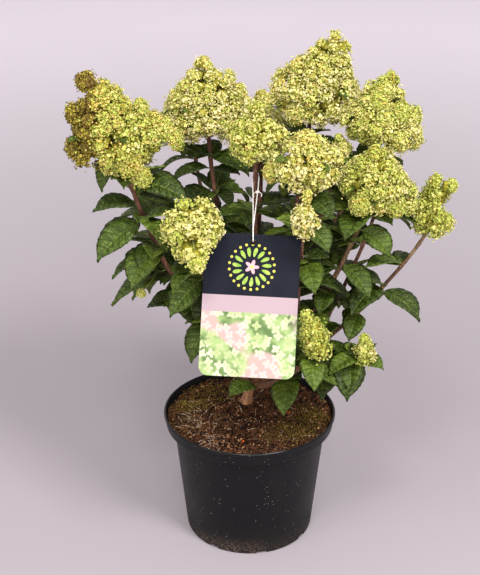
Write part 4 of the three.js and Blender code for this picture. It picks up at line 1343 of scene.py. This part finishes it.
def makeLitter():
    heap = Heap()
    k = np.arange(litter["crumbs"])
    radius, turn = soil["radius"] * np.sqrt(draw(k + 500)), draw(k * 3 + 501, 0, 2 * math.pi)
    x, y = radius * np.cos(turn), radius * np.sin(turn)
    gathered = draw(k + 502) < litter["gathered"]
    nearX, nearY = spread(len(k), 503, litter["heaps"])
    places = onSoil(np.where(gathered, nearX, x), np.where(gathered, nearY, y))
    size = mix(*litter["crumbSize"], draw(k + 504) ** 2.5)
    places[:, 2] += size * 0.35
    shape, faces = heartShape()
    facing = np.stack([draw(k + 505, -1, 1), draw(k + 506, -1, 1), draw(k + 507, 0.2, 1)], axis=1)
    tint = np.searchsorted([0.5, 0.88, 1.0], draw(k + 508))
    heap.stamp((shape * (1, 0.75, 0.6), faces), places, axesFrom(facing, draw(k + 509, 0, 6.28)), size, tint)

    # crumbs on the pot's ledge inside its rim
    k = np.arange(litter["rimCrumbs"])
    turn = mix(-2.6, -0.6, draw(k + 520)) + (draw(k + 521) < 0.35) * draw(k + 522, 0, 5)
    radius, height = draw(k + 523, *litter["ledgeRadius"]), draw(k + 524, *litter["ledgeHeight"])
    places = np.stack([radius * np.cos(turn), radius * np.sin(turn), height], axis=1)
    heap.stamp((shape, faces), places, axesFrom(places, draw(k + 525, 0, 6)), draw(k + 526, 0.4, 1.1) * mm,
               np.searchsorted([0.4, 0.8, 1.0], draw(k + 527)))

    # fibres in two straight halves that meet above the soil
    k = np.arange(litter["fibres"])
    x, y = spread(len(k), 541, litter["tangles"])
    reach, heading = mix(*litter["fibreLength"], draw(k + 542) ** 2), draw(k + 543, 0, 2 * math.pi)
    step = np.stack([np.cos(heading), np.sin(heading)], axis=1) * reach[:, None] / 2
    first, last = onSoil(x - step[:, 0], y - step[:, 1]), onSoil(x + step[:, 0], y + step[:, 1])
    middle = onSoil(x + draw(k + 544, -1, 1) * 1.5 * mm, y + draw(k + 545, -1, 1) * 1.5 * mm)
    middle[:, 2] += reach * draw(k + 546, 0.02, 0.14)
    tint = np.where(draw(k + 547) < 0.45, 6, np.where(draw(k + 548) < 0.6, 1, 2))
    rods(heap, first, middle, litter["fibreRadius"], litter["fibreRadius"], tint)
    rods(heap, middle, last, litter["fibreRadius"], litter["fibreRadius"] * 0.6, tint)

    # moss stands in cushions
    x, y = spread(litter["blades"], 560, litter["moss"])
    k = np.arange(litter["blades"])
    facing = np.stack([draw(k + 561, -0.6, 0.6), draw(k + 562, -0.6, 0.6), np.ones(len(k))], axis=1)
    size = mix(*litter["bladeLength"], draw(k + 563))
    heap.stamp(spikeShape(), onSoil(x, y), axesFrom(facing, k), size, np.where(draw(k + 564) < 0.7, 3, 4))

    # bright scraps of leaf and bark
    for k, (x, y) in enumerate(litter["scraps"]):
        j = np.arange(5)
        places = onSoil(x + draw(j + 7 * k + 580, -2, 2) * mm, y + draw(j + 7 * k + 590, -2, 2) * mm)
        facing = np.stack([draw(j + 600, -0.5, 0.5), draw(j + 610, -0.5, 0.5), 0 * j + 1.0], axis=1)
        heap.stamp((shape * (1.3, 0.8, 0.3), faces), places + (0, 0, 0.0006), axesFrom(facing, j),
                   draw(j + 7 * k + 620, 1.2, 2.4) * mm, np.full(5, 5))
    looks = [mottledFinish(name, 0.85, 420, *pair, Specular_IOR_Level=0.12)
             for name, pair in litterColours.items()]
    heap.piece("soilLitter", looks, slot="soil")


makePot()
makeSoil()
makeLitter()
print("pot and soil")


# Hanging card and its string

cardPrint = {
    # places and sizes are shares of the card's length, from the lower edge's middle
    "navyFrom": 0.567, "bandFrom": 0.449,
    "wreath": (0.5, 0.77), "wreathRadius": 0.105, "leaves": 15, "leafHigh": 0.034, "leafWide": 0.30,
    "dotRadius": 0.158, "dots": 22, "flowerRadius": 0.052,
    "florets": 15.0,            # florets along the card's length
}


def cardFinish():
    # above, a wreath of leaves round a five-petalled flower in a ring of dots; below, many small florets
    material, where, plug = newFinish("cardFront", 0.42, "UV", Specular_IOR_Level=0.07)
    y = where.part("Y")
    navy = noise(where, 6, 2).step(0.3, 0.7).tint((15, 17, 27), (20, 22, 32))
    dx = where.part("X") - cardPrint["wreath"][0]
    dy = y - cardPrint["wreath"][1]
    far = (dx * dx + dy * dy) ** 0.5
    angle = dy.maths("ARCTAN2", dx)
    # a repeat of -0.5 to 0.5 for each leaf or dot, measured round the ring
    swing = 0.2 * far / cardPrint["wreathRadius"]
    leafTurn = (angle * (cardPrint["leaves"] / (2 * math.pi)) + swing).maths("FRACT", 0) - 0.5
    dotTurn = (angle * (cardPrint["dots"] / (2 * math.pi))).maths("FRACT", 0) - 0.5
    leafRise = (far - cardPrint["wreathRadius"]) / cardPrint["leafHigh"]
    leafAcross = leafTurn / cardPrint["leafWide"]
    inLeaf = 1 - (leafRise * leafRise + leafAcross * leafAcross).step(0.85, 1.0)
    arc = 2 * math.pi * cardPrint["dotRadius"] / cardPrint["dots"]
    dotRise, dotAcross = far - cardPrint["dotRadius"], dotTurn * arc
    inDot = 1 - (dotRise * dotRise + dotAcross * dotAcross).maths("SQRT", 0).step(0.009, 0.0105)
    petal = cardPrint["flowerRadius"] * (0.72 + 0.28 * (angle * 5).maths("COSINE", 0))
    inFlower = 1 - (far / petal).step(0.94, 1.04)
    leafy = inLeaf.tint(navy, noise(where, 30, 2).step(0.3, 0.7).tint((112, 150, 56), (160, 176, 84)))
    dotted = inDot.tint(leafy, (186, 178, 76))
    flowered = inFlower.tint(dotted, (196, 152, 160))
    upper = (1 - far.step(0.012, 0.014)).tint(flowered, (190, 178, 90))

    # one four-petalled floret about each point of a Voronoi pattern
    settings = {"voronoi_dimensions": "2D"}
    cells = {"Vector": where, "Scale": cardPrint["florets"], "Randomness": 0.75}
    centre = where.node("ShaderNodeTexVoronoi", settings, cells, out="Position")
    offset = where.node("ShaderNodeVectorMath", {"operation": "SUBTRACT"}, {0: where, 1: centre})
    fx, fy = offset.part("X") * cardPrint["florets"], offset.part("Y") * cardPrint["florets"]
    away = (fx * fx + fy * fy).maths("SQRT", 0)
    turned = fy.maths("ARCTAN2", fx) + noise(centre, 9, 0) * 20
    edge = 0.42 + 0.12 * (turned * 4).maths("COSINE", 0)
    inPetal = 1 - (away / edge).step(0.82, 1.1)
    pinkArea = noise(where, 2.6, 1).step(0.5, 0.56)
    cream = noise(where, 5, 2).step(0.35, 0.65).tint((152, 162, 112), (180, 180, 158))
    petals = pinkArea.tint(cream, (182, 162, 158))
    meadow = noise(where, 7, 2).step(0.35, 0.6).tint((84, 106, 62), (140, 160, 104))
    ground = pinkArea.tint(meadow, (168, 142, 134))
    florets = (1 - away.step(0.05, 0.1)).tint(inPetal.tint(ground, petals), (150, 158, 84))

    overFlorets, overBand = (y.step(cardPrint[name] - 0.001, cardPrint[name] + 0.001)
                             for name in ("bandFrom", "navyFrom"))
    plug(Base_Color=overBand.tint(overFlorets.tint(florets, (156, 136, 141)), upper))
    return material


def cardOutline():
    # the card's edge from the hole's centre: two square corners above, two round ones below
    half, top, corner = card["width"] / 2, card["above"], card["corner"]
    foot = top - card["length"]
    arc = np.linspace(0, math.pi / 2, 9)
    back = arc[::-1]

    def edge(x, y, endX, endY, count):
        return np.stack([np.linspace(x, endX, count), np.linspace(y, endY, count)], 1)
    right = np.stack([half - corner + corner * np.sin(back), foot + corner - corner * np.cos(back)], 1)
    left = np.stack([-half + corner - corner * np.sin(arc), foot + corner - corner * np.cos(arc)], 1)
    return np.concatenate([
        edge(-half, top, half, top, 24), edge(half, top, half, foot + corner, 30)[1:-1], right,
        edge(half - corner, foot, -half + corner, foot, 20)[1:-1], left,
        edge(-half, foot + corner, -half, top, 30)[1:-1],
    ])


def makeCard():
    # rings from the hole to the edge on the front, back again on the back, bowed a little across
    edge = cardOutline()
    hole = unit(edge) * card["holeRadius"]
    share = np.concatenate([[0, 0.01], np.linspace(0.05, 0.95, 14), [0.998, 1.0]])[:, None, None]
    front = hole + (edge - hole) * share
    loop = np.concatenate([front, front[::-1]])
    depth = np.repeat([0.5, -0.5], len(front)) * card["thickness"]
    across, raised, facing = cardAxes()
    bow = card["bow"] * (1 - (loop[..., 0] / (card["width"] / 2)) ** 2)
    points = np.array(card["hole"]) + loop[..., :1] * across + loop[..., 1:] * raised
    points = points + (depth[:, None] + bow - card["bow"])[..., None] * facing
    faces = gridFaces(len(loop), len(edge), True, True)
    tints = np.where(np.arange(len(faces)) < len(edge) * (len(front) - 1), 0, 1)
    marks = (loop.reshape(-1, 2) - (0, card["above"] - card["length"])) / card["length"] + (0.5, 0)
    heap = Heap()
    heap.add(points, faces, tints, marks)
    cardBack = mottledFinish("cardBack", 0.4, 60, (226, 224, 216), (236, 234, 228))
    heap.piece("hangingCard", [cardFinish(), cardBack], "label", slot="card")


string = {"radius": 0.55 * mm, "height": 0.441, "steps": 260, "sides": 10, "twist": 46, "knot": 1.0 * mm}


def stringRoute():
    # through the card's hole and round the middle shoot, as in the solids
    hole = np.array(card["hole"])
    _, _, facing = cardAxes()
    raised = np.array([0, facing[2], -facing[1]])
    path = paths["centre"]
    along = (string["height"] - path[0][2]) / (path[2][2] - path[0][2])
    twig = pathPoint(path, along + 0.02)

    def near(front, above):
        return hole + facing * front * mm + raised * above * mm

    def about(x, y, z):
        return twig + np.array([x, y, z]) * mm
    return np.array([
        near(0, 0.9), near(2.2, 3.2), near(2.3, 8.5), near(-0.5, 13), (near(0, 13) + about(3.2, -6, -4)) / 2,
        about(3.4, -2.5, -0.8), about(3, 2.4, 1), about(-0.4, 3.6, 1.4), about(-3.4, 1.6, 0.8),
        about(-3, -4, -2.5), (near(-4, 6) + about(-2.4, -5, -4)) / 2, near(-4.5, 5), near(-2.6, 1.4),
    ])


def closedCurve(route, steps):
    # centripetal Catmull-Rom: between two points a cubic whose end slopes weigh the neighbours by the square
    # root of the distances
    before, after, beyond = np.roll(route, 1, 0), np.roll(route, -1, 0), np.roll(route, -2, 0)
    d0, d1, d2 = (np.sqrt(np.linalg.norm(b - a, axis=1))[:, None]
                  for a, b in ((before, route), (route, after), (after, beyond)))
    m1 = ((route - before) / d0 - (after - before) / (d0 + d1) + (after - route) / d1) * d1
    m2 = ((after - route) / d1 - (beyond - route) / (d1 + d2) + (beyond - after) / d2) * d1
    lengths = np.linalg.norm(after - route, axis=1)
    share = np.arange(steps) / steps * lengths.sum()
    k = np.searchsorted(np.cumsum(lengths), share, side="right")
    t = ((share - (np.cumsum(lengths) - lengths)[k]) / lengths[k])[:, None]
    return ((2 * t ** 3 - 3 * t ** 2 + 1) * route[k] + (t ** 3 - 2 * t ** 2 + t) * m1[k]
            + (3 * t ** 2 - 2 * t ** 3) * after[k] + (t ** 3 - t ** 2) * m2[k])


def makeString():
    # two plies show as a radius that swells twice round and turns along the string
    route = stringRoute()
    line = closedCurve(route, string["steps"])
    turn = evenTurns(string["sides"])
    wind = np.arange(string["steps"]) / string["steps"] * string["twist"] * 2 * math.pi
    radius = string["radius"] * (1 + 0.16 * np.cos(2 * turn[None] + wind[:, None]))
    heap = Heap()
    tube(heap, line, radius, string["sides"], loop=True)
    # a trefoil knot pulled small where the two strands meet below the shoot, and its loose ends
    t = evenTurns(60)
    x, y, z = np.sin(t) + 2 * np.sin(2 * t), -np.sin(3 * t) * 1.2, np.cos(t) - 2 * np.cos(2 * t)
    knot = np.stack([x, y, z], axis=1)
    middle = (route[4] + route[5]) / 2
    tube(heap, middle + knot * string["knot"] * 0.55, 0.5 * mm, 8, loop=True)
    for side in (-1, 1):
        s = np.linspace(0, 1, 12)[:, None]
        away, curl = np.array([side * 3.5, -3, -4]) * mm, np.array([side * 2.0, 0, 1]) * mm
        tube(heap, middle + s * away + np.sin(s * 3) * curl, 0.42 * mm, 8)
    twine = mottledFinish("string", 0.8, 700, (214, 206, 198), (242, 238, 232))
    heap.piece("tieString", [twine], "label_tie", slot="cord")


makeCard()
makeString()
print("card and string")


# Floor

def floorFinish():
    material, where, plug = newFinish("floor", 0.85)
    x, y = where.part("X"), where.part("Y")
    # the colour runs from darker near the pot to lighter far off: painted shade near, painted light far away
    depth = ((x * x + y * y) ** 0.5).step(0.3, 3.2)
    cloud = noise(where, 1.2, 2)
    plug(Base_Color=(depth * 0.92 + cloud * 0.08).tint((147, 139, 143), (236, 227, 234)))
    return material


def makeFloor():
    half = studio["floorSize"] / 2
    mesh = bpy.data.meshes.new("floor")
    corners = [(-half, -half, 0), (half, -half, 0), (half, half, 0), (-half, half, 0)]
    mesh.from_pydata(corners, [], [(0, 1, 2, 3)])
    mesh.materials.append(floorFinish())
    link(bpy.data.objects.new("floor", mesh))


makeFloor()
